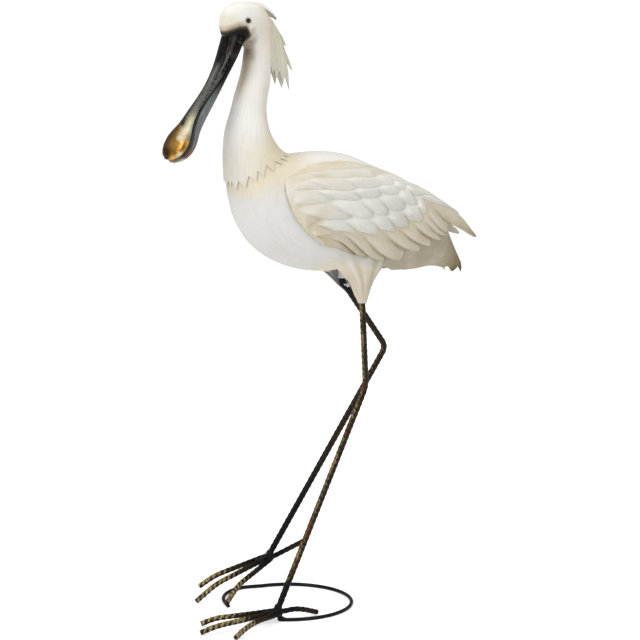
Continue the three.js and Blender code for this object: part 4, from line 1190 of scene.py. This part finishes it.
def make_wing(side):
    count = len(WING_TIPS)
    rows = len(ROW_EDGES)
    stops = np.sort(np.concatenate([[0.0], NOTCH_AT[:-1], np.arange(count) + 0.5, [float(count)]]))
    columns = [np.array([0.0])]
    for start, end in zip(stops[:-1], stops[1:]):
        pieces = max(3, int(round((end - start) / CUT_EDGE_STEP)))
        columns.append(start + 0.006 + (end - start - 0.006) * np.arange(pieces + 1) / pieces)
    columns = np.unique(np.clip(np.concatenate(columns), 0, count))
    across = len(columns) - 1
    starts = np.cumsum([0] + [n + 1 for n in ROW_STEPS])
    along = int(starts[-1]) - 1
    zone_of = np.repeat(np.arange(rows + 1), [n + 1 for n in ROW_STEPS])

    def layout(column, row):
        a = columns[column]
        zone = zone_of[row]
        part = (row - starts[zone]) / np.array(ROW_STEPS)[zone]
        edges, lifts = zip(*(row_edge(k, a) for k in range(rows)))
        bounds = [np.zeros_like(a), *edges, blade_edge(a)]
        under = 0.8 / wing_flow(a, np.ones_like(a))[2]
        low = np.choose(zone, bounds[:-1]) + np.where(zone > 0, under, 0.0)
        high = np.choose(zone, bounds[1:])
        lift = np.choose(zone, [*lifts, np.ones_like(a)])
        shift = np.choose(zone, [*ROW_SHIFT, 0.0])
        local = np.where(zone == rows, blade_of(a)[1], a + shift - np.floor(a + shift))
        return a, low + (high - low) * part, zone, part, lift, local

    def relief(a, t, zone, part, lift, local):
        saw = (1 - local) * smooth(0.0, 0.08, local)
        dome = np.sqrt(np.clip(1 - (2 * local - 1) ** 2, 0, 1))
        swell = smooth(0.0, 0.3, part) * (1 - 0.72 * smooth(0.5, 1.0, part))
        small = np.choose(zone, [*ROW_LIFT, 0.0]) * lift * swell * (0.2 + 0.4 * dome + 0.75 * saw)
        quill = 0.4 * bump_at(local, 0.38, 0.05) * smooth(0.1, 0.4, part)
        rise = smooth(0.0, 0.12 + 0.5 * smooth(3.6, 1.6, a), part)
        long_one = 0.35 + (BLADE_LIFT * saw + 0.7 * dome * smooth(0.0, 0.4, part) + quill) * rise
        length = wing_flow(a, np.ones_like(a))[2]
        lip = 1.5 * (1 - np.exp(-t * length / 2.2)) * smooth(6, 4, a)
        return np.where(zone == rows, long_one, small) + lip - front_sink(a, t)

    def outer_place(column, row):
        a, t, zone, part, lift, local = layout(column, row)
        y, z, _ = wing_flow(a, t)
        return wing_points(y, z, 0.6 + relief(a, t, zone, part, lift, local))

    def inner_place(column, row):
        a, t, *_ = layout(column, row)
        y, z, _ = wing_flow(a, t)
        return wing_points(y, z, -front_sink(a, t))

    outer = grid_piece(f"wing_sheet_{side}", across, along, outer_place)
    row, column = (index.ravel() for index in np.indices((along + 1, across + 1)))
    paint_wing(outer, *layout(column, row), rows)
    back = grid_piece(f"wing_back_{side}", across, along, inner_place, flip=True)
    a, t, *_ = layout(column, row)
    # The back: tan, a little bare grey, and painted shade where it faces in toward the body
    write_fields(back, wash=0.5, shade=0.42, inside=0.12)
    write_flow(back, a * FEATHER_WIDTH, t * wing_flow(a, t)[2])
    wing = join_pieces(f"wing_sheet_{side}", [outer, back])
    bridge_edges(wing)
    if side == "right":
        p = bird_points(wing)
        p[:, 0] *= -1
        move_corners(wing, p)
    outward(wing)
    smooth_faces(wing, 42)
    finish_piece(wing, WING_PAINT, "wing_paint", f"wing_{side}")


def bridge_edges(wing):
    """Join the outer face and the back along their open edges."""
    pick(wing)
    bpy.ops.object.mode_set(mode="EDIT")
    bpy.ops.mesh.select_mode(type="EDGE")
    bpy.ops.mesh.select_all(action="DESELECT")
    bpy.ops.mesh.select_non_manifold(
        extend=False, use_wire=False, use_multi_face=False, use_non_contiguous=False, use_verts=False,
    )
    bpy.ops.mesh.bridge_edge_loops()
    bpy.ops.mesh.select_mode(type="VERT")
    bpy.ops.object.mode_set(mode="OBJECT")


def paint_wing(outer, a, t, zone, part, lift, local, rows):
    y, z, length = wing_flow(a, t)
    blade = (zone == rows).astype(float)
    small = (1 - blade) * lift
    patches = clouds(y, z, 0.55)
    front_edge = smooth(0.2, 0.0, t) * smooth(6.5, 3.5, a)
    shoulder = smooth(0.5, 0.1, t) * smooth(9, 5, a)
    low_front = smooth(2.8, 0.8, a) * (1 - blade)
    sunk = smooth(3.9, 5.4, a) * smooth(0.2, 0.02, t)
    lower = smooth(642, 614, z)

    # Tan washes at the front edge and the shoulder, and on the long feathers
    wash = 0.45 * front_edge * lower + (0.08 + 0.12 * lower) * shoulder
    wash = wash + 0.28 * low_front + 0.66 * blade + 0.6 * sunk
    wash = wash + 0.3 * smooth(3.8, 5.6, a) * smooth(0.42, 0.15, t)
    wash = wash + 0.4 * blade * smooth(8.6, 9.4, a) * smooth(0.3, 0.7, part)
    wash = wash + 0.3 * smooth(0.5, 0.75, patches) * smooth(0.5, 0.2, t)
    wash = wash + 0.26 * bump_at(z, 572, 22) * smooth(48, 20, y) * smooth(-14, 4, y)
    wash = wash * (1 - 0.3 * smooth(70, 25, y) * smooth(598, 616, z))
    wash = wash + 0.15 * smooth(50, 10, y) * smooth(622, 606, z)
    wash = wash + 0.12 * smooth(600, 616, z) * smooth(130, 90, y) * smooth(20, 40, y)

    # Painted shade in the troughs between the feathers, toward their ends and on the lower rear coverts;
    # the long feathers also carry a taupe tone of their own
    trough = smooth(0.66, 1.0, local) * smooth(0.2, 0.7, part)
    fall = smooth(0.68, 1.0, part) * smooth(0.2, 0.6, local)
    depth_of_row = np.choose(zone, [0.2, 0.3, 0.5, 0.75, 0.95, 1.0, 1.0])
    shade = small * depth_of_row * (0.22 * trough + 0.2 * fall)
    shade = shade + 0.2 * small * smooth(3.5, 6.5, a) * smooth(0.3, 0.6, t)
    shade = shade + 0.12 * small * smooth(592, 566, z)
    on_blades = 0.3 + 0.16 * smooth(0.2, 0.9, part) + 0.03 * smooth(5.5, 9.5, a) + 0.6 * trough
    shade = shade + blade * on_blades
    shade = shade + 0.02 * blade * smooth(3.0, 1.0, a) + 0.03 * smooth(6, 9.8, a) * smooth(0.2, 0.9, t)
    shade = shade + 0.1 * low_front * smooth(0.25, 0.6, patches)
    tan_tip = blade * smooth(8.6, 9.7, a) * smooth(0.3, 0.9, part)
    tan_tip = tan_tip + 0.7 * blade * smooth(2.6, 1.2, a) * smooth(0.2, 0.9, part)

    # Painted highlight along the raised side of each feather
    edge_light = bump_at(local, 0.22, 0.22) * smooth(0.0, 0.2, part) * smooth(0.95, 0.4, part)
    rim = blade * 0.22 * edge_light * smooth(0.6, 2.2, a) * smooth(9.6, 8, a)
    rim = rim + 0.45 * small * bump_at(part, 0.3, 0.2) * bump_at(local, 0.22, 0.25) * depth_of_row
    write_fields(outer, wash=wash, shade=shade, rim=rim, soot=0.22 * tan_tip, grey=0.1 * small * patches)
    spread = (local - 0.38) * FEATHER_WIDTH
    write_flow(outer, a * FEATHER_WIDTH, t * length - np.abs(spread) * 0.7)


# Bill: two long lacquered plates, slightly open, ending in the spoon
ALONG_BILL = np.array([0.0, -math.cos(BILL_PITCH), -math.sin(BILL_PITCH)])
UP_FROM_BILL = np.array([0.0, -math.sin(BILL_PITCH), math.cos(BILL_PITCH)])
BILL_ORIGIN = np.array([0.0, *BILL_ROOT])


def make_bill(upper):
    around = 60
    arch_columns = 40
    lengths = np.concatenate([
        np.linspace(-6, 150, 79), np.linspace(151.5, 200, 40), [202, 204, 205.6, 206.8, 207.6, 208],
    ])
    along = len(lengths) + 1

    def place(column, row):
        distance = lengths[np.clip(row - 1, 0, len(lengths) - 1)]
        _, rise, w1, h1, w2, h2, gape = read_by_first(BILL_ROWS, distance).T
        column = np.mod(column, around)
        arch = column <= arch_columns
        a = np.where(arch, PI * column / arch_columns, 0.0)
        flat_part = (column - arch_columns) / (around - arch_columns)
        across = np.where(arch, np.cos(a), -1 + 2 * flat_part)
        dome = np.where(arch, np.maximum(np.sin(a), 0) ** 0.85, 0.0)
        shaft = smooth(24, 60, distance) * (1 - smooth(148, 172, distance))
        if upper:
            ridge = 1.3 * np.cos(a * 4) * shaft + 0.35 * np.cos(a * 8) * shaft
            lip = 1.0 * bump_at(np.abs(across), 0.93, 0.06) * smooth(150, 170, distance)
            domed = rise + BILL_WALL + (h1 - BILL_WALL + ridge + lip) * dome
            height = np.where(arch, domed, rise + 0.5 * (1 - across**2))
            side = w1 * across
            middle = rise + h1 * 0.4
        else:
            keel = 1.1 * np.cos(a * 2) * shaft
            domed = rise - gape - BILL_WALL - (h2 - BILL_WALL - keel) * dome
            height = np.where(arch, domed, rise - gape)
            side = w2 * across
            middle = rise - gape - h2 * 0.4
        side = np.where(arch, side, side * 0.97)
        ends = (row == 0) | (row == along)
        side = np.where(ends, 0.0, side)
        height = np.where(ends, middle, height)
        middle_line = BILL_ORIGIN + np.outer(distance, ALONG_BILL) + np.outer(height, UP_FROM_BILL)
        return middle_line + np.outer(side, [1, 0, 0])

    name = "upper" if upper else "lower"
    bill = grid_piece(f"bill_{name}_plate", around, along, place, closed=True)
    outward(bill)
    p = bird_points(bill) - BILL_ORIGIN
    distance, height = p @ ALONG_BILL, p @ UP_FROM_BILL
    half = np.maximum(read_by_first(BILL_ROWS, distance)[:, 2 if upper else 4], 1)
    across = p[:, 0] / half
    if upper:
        gold = smooth(146, 162, distance - 18 * across)
        # Dry-brushed silver up the shaft, turning on the spoon into a cream patch that is a painted
        # reflection
        brushed = np.interp(
            distance, [36, 60, 85, 105, 128, 145, 160], [0.1, 0.32, 0.42, 0.46, 0.52, 0.8, 1.0],
        )
        middle = np.interp(distance, [60, 110, 155, 175], [0.15, 0.45, 0.84, 0.7])
        spread = np.interp(distance, [60, 110, 155, 175], [0.95, 0.85, 0.52, 0.5])
        brushed = brushed * bump_at(across, middle, spread) * smooth(188, 160, distance)
        brushed = brushed * (1 - 0.3 * smooth(0.85, 1.0, across) * smooth(138, 156, distance))
        # Painted highlights along two ridges of the shaft
        painted_ridge_highlights = 0.42 * bump_at(across, 0.8, 0.06) * smooth(24, 34, distance) * smooth(96, 60, distance)
        low_ridge_highlight = 0.42 * bump_at(across, 0.32, 0.07) * smooth(44, 56, distance)
        painted_ridge_highlights = painted_ridge_highlights + low_ridge_highlight * smooth(120, 90, distance)
        side_streak = 0.36 * smooth(0.6, 0.9, across) * smooth(50, 70, distance)
        brushed = np.maximum(brushed, side_streak * smooth(150, 130, distance))
        # Painted highlights on the spoon
        shine = 0.55 * bump_at(across, 0.6, 0.25) * bump_at(distance, 177, 6)
        shine = shine + 0.8 * bump_at(across, 0.97, 0.14) * bump_at(distance, 197, 5)
        pale_paint_and_highlights = np.maximum(brushed, painted_ridge_highlights) + shine
        # Painted shade on the spoon: over its -x half, at one +x edge and at the tip
        brown_and_painted_shade = np.interp(across, [-0.6, -0.1, 0.2, 0.45, 0.65], [0.95, 0.78, 0.5, 0.2, 0.04])
        brown_and_painted_shade = brown_and_painted_shade + 0.45 * smooth(0.78, 0.95, across) * bump_at(distance, 187, 5)
        brown_and_painted_shade = brown_and_painted_shade + 0.5 * smooth(0.8, 0.4, across) * smooth(190, 203, distance)
        write_field(bill, "cream", smooth(118, 150, distance))
    else:
        gold = smooth(66, 114, distance)
        pale_paint_and_highlights = smooth(192, 203, distance)
        brown_and_painted_shade = 0.7 * bump_at(distance, 190, 9) * smooth(0.75, 0.97, across)
    write_field(bill, "gold", gold)
    write_field(bill, "pale_paint_and_highlights", pale_paint_and_highlights)
    write_field(bill, "brown_and_painted_shade", brown_and_painted_shade)
    write_flow(bill, p[:, 0] + 0.4 * height, distance)
    smooth_faces(bill, 40)
    material, slot = (BILL_DARK, "bill_dark_paint") if upper else (BILL_GREY, "bill_grey_paint")
    finish_piece(bill, material, slot, f"bill_{name}")


# Crest: cut plates behind the head and a small cap
def crest_plate(side, outline):
    sign = {"left": 1, "right": -1, "middle": 0}[side]
    low_y, high_y, low_z, high_z = -34.0, 19.0, 762.0, 876.0
    across, along = 64, 130

    def place(column, row):
        y = lerp(low_y, high_y, column / across)
        z = lerp(high_z, low_z, row / along)
        bulge = 1.6 * bump_at(z, 815, 34)
        lean = y - 0.24 * (870 - z) * 0.8
        plume = 0.6 * np.abs(np.sin(lean * 0.42)) + 0.15 * np.sin(lean * 1.9)
        if sign:
            x = sign * (CREST_SIDE_X + CREST_SPLAY * (y + 25) + bulge + plume)
        else:
            x = 0.5 * np.sin(z * 0.05) + plume - 0.3
        return np.stack([x, y, z], 1)

    plate = grid_piece(f"crest_plate_{side}", across, along, place)
    apply_modifier(plate, "SOLIDIFY", thickness=SHEET / 1000, offset=0.0, use_even_offset=False)
    outward(plate)
    cut(plate, prism("crest_outline", outline, "X", -30, 30), operation="INTERSECT")
    outward(plate)
    p = bird_points(plate)
    tips = smooth(812, 770, p[:, 2])
    write_fields(plate, wash=0.75 - 0.3 * tips, shade=0.12 + 0.34 * tips + 0.1 * smooth(-4, -22, p[:, 1]))
    smooth_faces(plate, 30)
    finish_piece(plate, [CREST_PAINT, CUT_EDGE_SHADOW], "white_paint", f"crest_{side}")


def crest_cap():
    rows = np.array(CREST_TOP_ROWS, float)
    steps = 24

    def place(column, row):
        y, z, half = read_table(rows, row / steps * (len(rows) - 1)).T
        x = half * (2 * column / steps - 1)
        notch = np.where(row == steps, 2.6 * np.abs(np.sin(column * PI / 6)), 0.0)
        lift = 0.35 * np.sin(x * 1.1 + 0.6) * smooth(0, 12, row)
        return np.stack([x, y - 0.75 * notch, z - 0.05 * x * x + lift + notch * 0.85 + 0.7], 1)

    cap = grid_piece("crest_cap", steps, steps, place)
    apply_modifier(cap, "SOLIDIFY", thickness=SHEET / 1000, offset=1.0, use_even_offset=False)
    outward(cap)
    # Tan toward the front, and a painted highlight over the whole cap
    write_fields(cap, wash=0.35 + 0.3 * smooth(-30, -14, bird_points(cap)[:, 1]), rim=0.4)
    smooth_faces(cap, 35)
    finish_piece(cap, CREST_PAINT, "white_paint", "crest_top")


# Bars and wire
def rounded_path(points, bend, first=None):
    points = np.asarray(points, float)
    path = [points[0]]
    for i in range(1, len(points) - 1):
        before, after = points[i - 1] - points[i], points[i + 1] - points[i]
        wanted = first if first and i == 1 else bend
        reach = min(wanted, np.linalg.norm(before) * 0.45, np.linalg.norm(after) * 0.45)
        start = points[i] + before / np.linalg.norm(before) * reach
        end = points[i] + after / np.linalg.norm(after) * reach
        for t in np.linspace(0, 1, 9):
            path.append(start * (1 - t) ** 2 + points[i] * 2 * t * (1 - t) + end * t * t)
    path.append(points[-1])
    return np.array(path)


def resample(path, spacing):
    lengths = np.concatenate([[0], np.cumsum(np.linalg.norm(np.diff(path, axis=0), axis=1))])
    at = np.linspace(0, lengths[-1], max(2, int(round(lengths[-1] / spacing))) + 1)
    return np.stack([np.interp(at, lengths, path[:, k]) for k in range(3)], 1), at


def bar_piece(name, path, radius, spacing, sides, ribbed):
    """A bar along a path with closed ends, and two spiral ribs on it if it is ribbed."""
    centres, at = resample(path, spacing)
    tangents = np.gradient(centres, axis=0)
    tangents /= np.linalg.norm(tangents, axis=1, keepdims=True)
    across = np.empty_like(centres)
    guide = np.array([1.0, 0, 0]) if abs(tangents[0][2]) > 0.9 else np.array([0, 0, 1.0])
    for i, tangent in enumerate(tangents):
        guide = guide - tangent * np.dot(guide, tangent)
        guide /= np.linalg.norm(guide)
        across[i] = guide
    other = np.cross(tangents, across)
    last = len(centres) - 1
    end_rows = 2
    along = last + 2 * end_rows
    turns = 2 * PI * at / RIB_PITCH

    def wave_at(column, row):
        a = 2 * PI * np.mod(column, sides) / sides
        return a, np.clip(np.cos(2 * a + turns[np.clip(row - end_rows, 0, last)]), 0, 1)

    def place(column, row):
        i = np.clip(row - end_rows, 0, last)
        a, wave = wave_at(column, row)
        ends = np.minimum(at[i], at[-1] - at[i])
        reach = radius + (RIB_HEIGHT * wave**1.3 * smooth(0.0, 3.0, ends) if ribbed else 0.0)
        edge = (row == 1) | (row == along - 1)
        reach = np.where((row == 0) | (row == along), 0.0, np.where(edge, reach * 0.86, reach))
        sideways = across[i] * (reach * np.cos(a))[:, None]
        return centres[i] + sideways + other[i] * (reach * np.sin(a))[:, None]

    bar = grid_piece(name, sides, along, place)
    row, column = (index.ravel() for index in np.indices((along + 1, sides + 1)))
    write_field(bar, "rib", wave_at(column, row)[1] if ribbed else 0.0)
    write_field(bar, "black", 0.0)
    merge(bar)
    outward(bar)
    smooth_faces(bar, 50)
    return bar


def ring_path():
    degrees = np.linspace(RING_DEGREES[0], RING_DEGREES[1], 180)
    swing = RING_HOOK["rise"] * smooth(RING_HOOK["out"], RING_HOOK["full"], degrees)
    home = (RING_HOOK["end"] - swing) * smooth(RING_HOOK["back"], RING_HOOK["home"], degrees)
    radius = RING_RADIUS + swing + home
    a = np.radians(degrees)
    low = WIRE_RADIUS - 0.1
    x, y = RING_CENTRE[0] + radius * np.cos(a), RING_CENTRE[1] + radius * np.sin(a)
    flat = np.stack([x, y, np.full(len(a), low)], 1)
    top = [x[0], y[0], RING_STUB_TOP]
    return np.vstack([rounded_path([top, flat[0], flat[2]], 0.6), flat[3:]])


def make_bars():
    for side in ("left", "right"):
        path = rounded_path(LEG_PATHS[side], KNEE_ROUND, HIP_ROUND)
        leg = bar_piece(f"leg_bar_{side}", path, LEG_RADIUS, BAR_SPACING, 22, True)
        p, normals = bird_points(leg), bird_normals(leg)
        foot = LEG_PATHS[side][-1][2]
        lit = 0.3 + 0.7 * smooth(0.1, 0.95, normals @ np.array([0.1, -0.98, 0.15]))
        height = p[:, 2] - foot

        # Bronze is rubbed on the ribs and laid thicker on the side facing the light as a painted highlight;
        # it fades toward the foot, on the right leg toward the thigh too
        if side == "right":
            rub_and_painted_light = smooth(90, 200, height) * lit * 0.8 * smooth(470, 430, p[:, 2])
            black = smooth(170, 70, height) + smooth(430, 455, p[:, 2])
        else:
            rub_and_painted_light = smooth(30, 48, height) * lit * (1 + 0.35 * smooth(200, 90, height))
            black = smooth(46, 32, height)
        write_field(leg, "rub_and_painted_light", rub_and_painted_light)
        write_field(leg, "black", black)
        finish_piece(leg, LEG_PATINA, "bar_bronze", f"leg_{side}")
    for name, points in TOE_PATHS.items():
        path = rounded_path(points, TOE_ROUND)
        toe = bar_piece(f"{name}_bar", path, TOE_RADIUS, BAR_SPACING, 20, True)
        p, normals = bird_points(toe), bird_normals(toe)
        away = np.linalg.norm(p - np.array(points[0], float), axis=1)
        # Bronze on the toes: rubbed on, and laid thicker on their tops and +x sides as painted light
        rub_and_painted_light = smooth(34, 78, away) * (0.4 + 0.6 * smooth(-0.5, 0.6, normals[:, 2] + 0.3 * normals[:, 0]))
        if "hind" in name:
            rub_and_painted_light = rub_and_painted_light * 0.4 + 0.12 * smooth(10, 30, away)
        write_field(toe, "rub_and_painted_light", rub_and_painted_light)
        write_field(toe, "black", smooth(40, 20, away))
        finish_piece(toe, TOE_PATINA, "bar_bronze", name)
    ring = bar_piece("ring_wire", ring_path(), WIRE_RADIUS, WIRE_SPACING, 20, False)
    finish_piece(ring, RING_BLACK, "wire_black", "stand_ring")


def weld(name, beads):
    """Lumps of weld run together: each bead is (x, y, z, half sizes)."""
    parts = []
    for x, y, z, half in beads:
        bpy.ops.object.select_all(action="DESELECT")
        bpy.ops.mesh.primitive_ico_sphere_add(subdivisions=3, radius=1.0)
        bead = bpy.context.object
        move_corners(bead, corners(bead) * np.array(half) + np.array([x, y, z]))
        parts.append(bead)
    lump = join_pieces(name, parts)
    apply_modifier(lump, "REMESH", mode="VOXEL", voxel_size=WELD_VOXEL)
    apply_modifier(lump, "SMOOTH", factor=0.6, iterations=6)
    p = bird_points(lump)
    ripple = 0.22 * np.sin(p[:, 0] * 1.9) * np.sin(p[:, 1] * 2.1 + 0.7) * np.sin(p[:, 2] * 2.3)
    move_corners(lump, p + ripple[:, None])
    smooth_faces(lump, 60)
    finish_piece(lump, WELD_BLACK, "bar_bronze")


def make_welds():
    weld("palm_weld_left", [
        (77.8, -68, 14.2, (5.4, 6.5, 4.2)), (82.5, -66.5, 14.2, (6.2, 6.6, 4.4)),
        (87.3, -68, 13.8, (5.0, 6, 4)), (81.6, -75, 15.0, (6.2, 7.5, 3.8)),
        (84.6, -61.5, 13.8, (5.2, 5.4, 3.8)), (81.0, -65.5, 19.5, (5.4, 5.6, 5.5)),
        (82.5, -84, 13.8, (10.5, 9, 2.6)), (87.9, -67.6, 7.0, (3.3, 3.3, 7.0)),
        (90.2, -65.4, 5.2, (3.2, 3.4, 3.4)), (93.0, -62.4, 4.2, (3.2, 3.8, 2.0)),
    ])
    weld("palm_weld_right", [
        (-67.2, 13.5, 51.2, (5.4, 6.5, 4)), (-62.6, 14.5, 51.6, (6.2, 6.6, 4.2)),
        (-58.0, 13.5, 51.0, (5.2, 6, 4)), (-62.4, 6.6, 51.4, (6.4, 7.5, 3.6)),
        (-61.6, 20.5, 51.2, (5.0, 5.4, 3.8)), (-63.2, 16.8, 56.5, (5.2, 5.4, 5)),
        (-62.8, 0, 48, (9.5, 8, 2.6)),
    ])


# Sockets, screws and eyes
def node_box(name):
    low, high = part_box(name)
    return np.array(low) * 1000 - SHIFT, np.array(high) * 1000 - SHIFT


def socket_tube(side):
    low, high = node_box(f"leg_socket_{side}")
    length = high[2] - low[2] - TUBE_BELOW_TOP
    bpy.ops.object.select_all(action="DESELECT")
    bpy.ops.mesh.primitive_cylinder_add(
        vertices=48, radius=SOCKET_RADIUS, depth=length, end_fill_type="NOTHING",
    )
    tube = bpy.context.object
    tube.name = f"socket_tube_{side}"
    centre = np.array([(low[0] + high[0]) / 2, (low[1] + high[1]) / 2, low[2] + length / 2])
    move_corners(tube, corners(tube) + centre)
    apply_modifier(tube, "SOLIDIFY", thickness=(SOCKET_RADIUS - SOCKET_BORE) / 1000, offset=-1.0)
    apply_modifier(tube, "BEVEL", width=0.0002, segments=2, limit_method="ANGLE")
    outward(tube)
    smooth_faces(tube, 35)
    finish_piece(tube, SOCKET_WHITE, "white_paint", f"leg_socket_{side}")


def screw_piece(name, middle, sign, length, slotted=True):
    """A small screw lying across, its head toward the middle plane."""
    profile = [(0.0, 0.0), (2.2, 0.0), (2.9, 0.5), (2.9, 2.0), (1.5, 2.3), (1.5, length), (0.0, length)]
    profile = np.array(profile)
    around = 28

    def place(column, row):
        radius, depth = profile[row].T
        a = 2 * PI * column / around
        return middle + np.stack([sign * depth, radius * np.cos(a), radius * np.sin(a)], 1)

    screw = grid_piece(name, around, len(profile) - 1, place, closed=True)
    outward(screw)
    apply_modifier(screw, "BEVEL", width=0.0003, segments=2, limit_method="ANGLE")
    if slotted:
        slot = [(middle[1] + 4 * i, middle[2] + 0.4 * j) for i, j in ((-1, -1), (1, -1), (1, 1), (-1, 1))]
        cut(screw, prism("slot", slot, "X", middle[0] - 1, middle[0] + 1))
    smooth_faces(screw, 35)
    return screw


def clamp_screw(side):
    low, high = node_box(f"clamp_screw_{side}")
    middle = (low + high) / 2
    sign = 1 if side == "left" else -1
    middle[0] = low[0] if sign > 0 else high[0]
    screw = screw_piece(f"screw_{side}", middle, sign, 9.0)
    finish_piece(screw, SOCKET_WHITE, "white_paint", f"clamp_screw_{side}")


def lock_screw(side):
    """The screw through the leg just below its tube."""
    sign = 1 if side == "left" else -1
    middle = np.array(LOCK_SCREW_PLACE[side])
    pin = screw_piece(f"lock_screw_{side}", middle, sign, 12.0, False)
    finish_piece(pin, SOCKET_WHITE, "white_paint")


def make_eye(side):
    sign = 1 if side == "left" else -1
    bpy.ops.object.select_all(action="DESELECT")
    bpy.ops.mesh.primitive_uv_sphere_add(segments=32, ring_count=20, radius=1.0)
    eye = bpy.context.object
    eye.name = f"eye_bead_{side}"
    x, y, z = EYE
    centre = np.array([sign * (x - 1.0), y, z])
    move_corners(eye, corners(eye) * EYE_RADIUS * np.array([0.95, 1, 1]) + centre)
    smooth_faces(eye, 60)
    finish_piece(eye, EYE_BLACK, "eye_black", f"eye_{side}")


# Camera and room
CAMERA_TURN = math.radians(35.0)
CAMERA_DISTANCE = 4000.0
CAMERA_HEIGHT = 1155.0
CAMERA_SIDE = 48.0
CAMERA_TILT = math.radians(10.3)
CAMERA_LENS = 2771.0 / 640 * 36
AIM_X = 11.0
ROOM_LIGHT = 0.67
GLOSS_LIGHT = 0.35


def make_camera():
    toward = np.array([math.cos(CAMERA_TURN), -math.sin(CAMERA_TURN), 0])
    right = np.array([math.sin(CAMERA_TURN), math.cos(CAMERA_TURN), 0])
    place = np.array([AIM_X, 0, CAMERA_HEIGHT]) + CAMERA_DISTANCE * toward + CAMERA_SIDE * right
    look = -toward * math.cos(CAMERA_TILT) - np.array([0, 0, math.sin(CAMERA_TILT)])
    data = bpy.data.cameras.new("camera")
    camera = bpy.data.objects.new("camera", data)
    bpy.context.collection.objects.link(camera)
    data.sensor_width = 36
    data.lens = CAMERA_LENS
    data.clip_end = 50
    camera.location = Vector(to_row(place))
    camera.rotation_euler = Vector(look).to_track_quat("-Z", "Y").to_euler()
    bpy.context.scene.camera = camera


def area_light(name, place, target, size, power):
    data = bpy.data.lights.new(name, "AREA")
    data.shape = "RECTANGLE"
    data.size, data.size_y = size
    data.energy = power
    light = bpy.data.objects.new(name, data)
    bpy.context.collection.objects.link(light)
    light.location = place
    light.rotation_euler = (Vector(target) - Vector(place)).to_track_quat("-Z", "Y").to_euler()


def make_world():
    """A white surround: full white behind the bird, softer as the light on it."""
    world = bpy.data.worlds.new("studio")
    bpy.context.scene.world = world
    world.use_nodes = True
    tree = world.node_tree
    tree.nodes.clear()
    output = node(tree, "ShaderNodeOutputWorld")
    seen = node(tree, "ShaderNodeLightPath").outputs["Is Camera Ray"]
    background = node(tree, "ShaderNodeBackground")
    background.inputs["Color"].default_value = (1, 1, 1, 1)
    mirrored = node(tree, "ShaderNodeLightPath").outputs["Is Glossy Ray"]
    strength = remap(tree, seen, 0.0, 1.0, ROOM_LIGHT, 1.0)
    strength = maths(tree, "MULTIPLY", strength, remap(tree, mirrored, 0.0, 1.0, 1.0, GLOSS_LIGHT))
    join(tree, strength, background.inputs["Strength"])
    join(tree, background.outputs["Background"], output.inputs["Surface"])


def make_room():
    bpy.ops.object.select_all(action="DESELECT")
    bpy.ops.mesh.primitive_plane_add(size=40)
    floor = bpy.context.object
    floor.name = "floor"
    material, tree, shader = new_material("floor_white")
    shader.inputs["Base Color"].default_value = (0.9, 0.9, 0.9, 1)
    shader.inputs["Roughness"].default_value = 0.95
    shader.inputs["Specular IOR Level"].default_value = 0.0
    shader.inputs["Emission Color"].default_value = (1, 1, 1, 1)
    seen = node(tree, "ShaderNodeLightPath").outputs["Is Camera Ray"]
    join(tree, remap(tree, seen, 0.0, 1.0, 0.05, 0.5), shader.inputs["Emission Strength"])
    floor.data.materials.append(material)
    make_world()
    aim = (0, 0, 0.6)
    area_light("key", (0.4, -3.0, 2.5), aim, (1.4, 1.4), 42)
    area_light("fill", (3.2, 0.6, 1.1), aim, (1.6, 2.2), 6)
    area_light("top", (0.3, 0.5, 3.4), aim, (2.0, 2.0), 24)
    scene = bpy.context.scene
    scene.view_settings.view_transform = "Standard"
    scene.view_settings.look = "None"


make_camera()
make_room()
make_body()
make_neck()
make_wing("left")
make_wing("right")
make_bill(True)
make_bill(False)
crest_cap()
crest_plate("middle", CREST_MIDDLE)
crest_plate("left", CREST_SIDE)
crest_plate("right", CREST_SIDE)
make_bars()
make_welds()
for one_side in ("left", "right"):
    socket_tube(one_side)
    clamp_screw(one_side)
    lock_screw(one_side)
    make_eye(one_side)
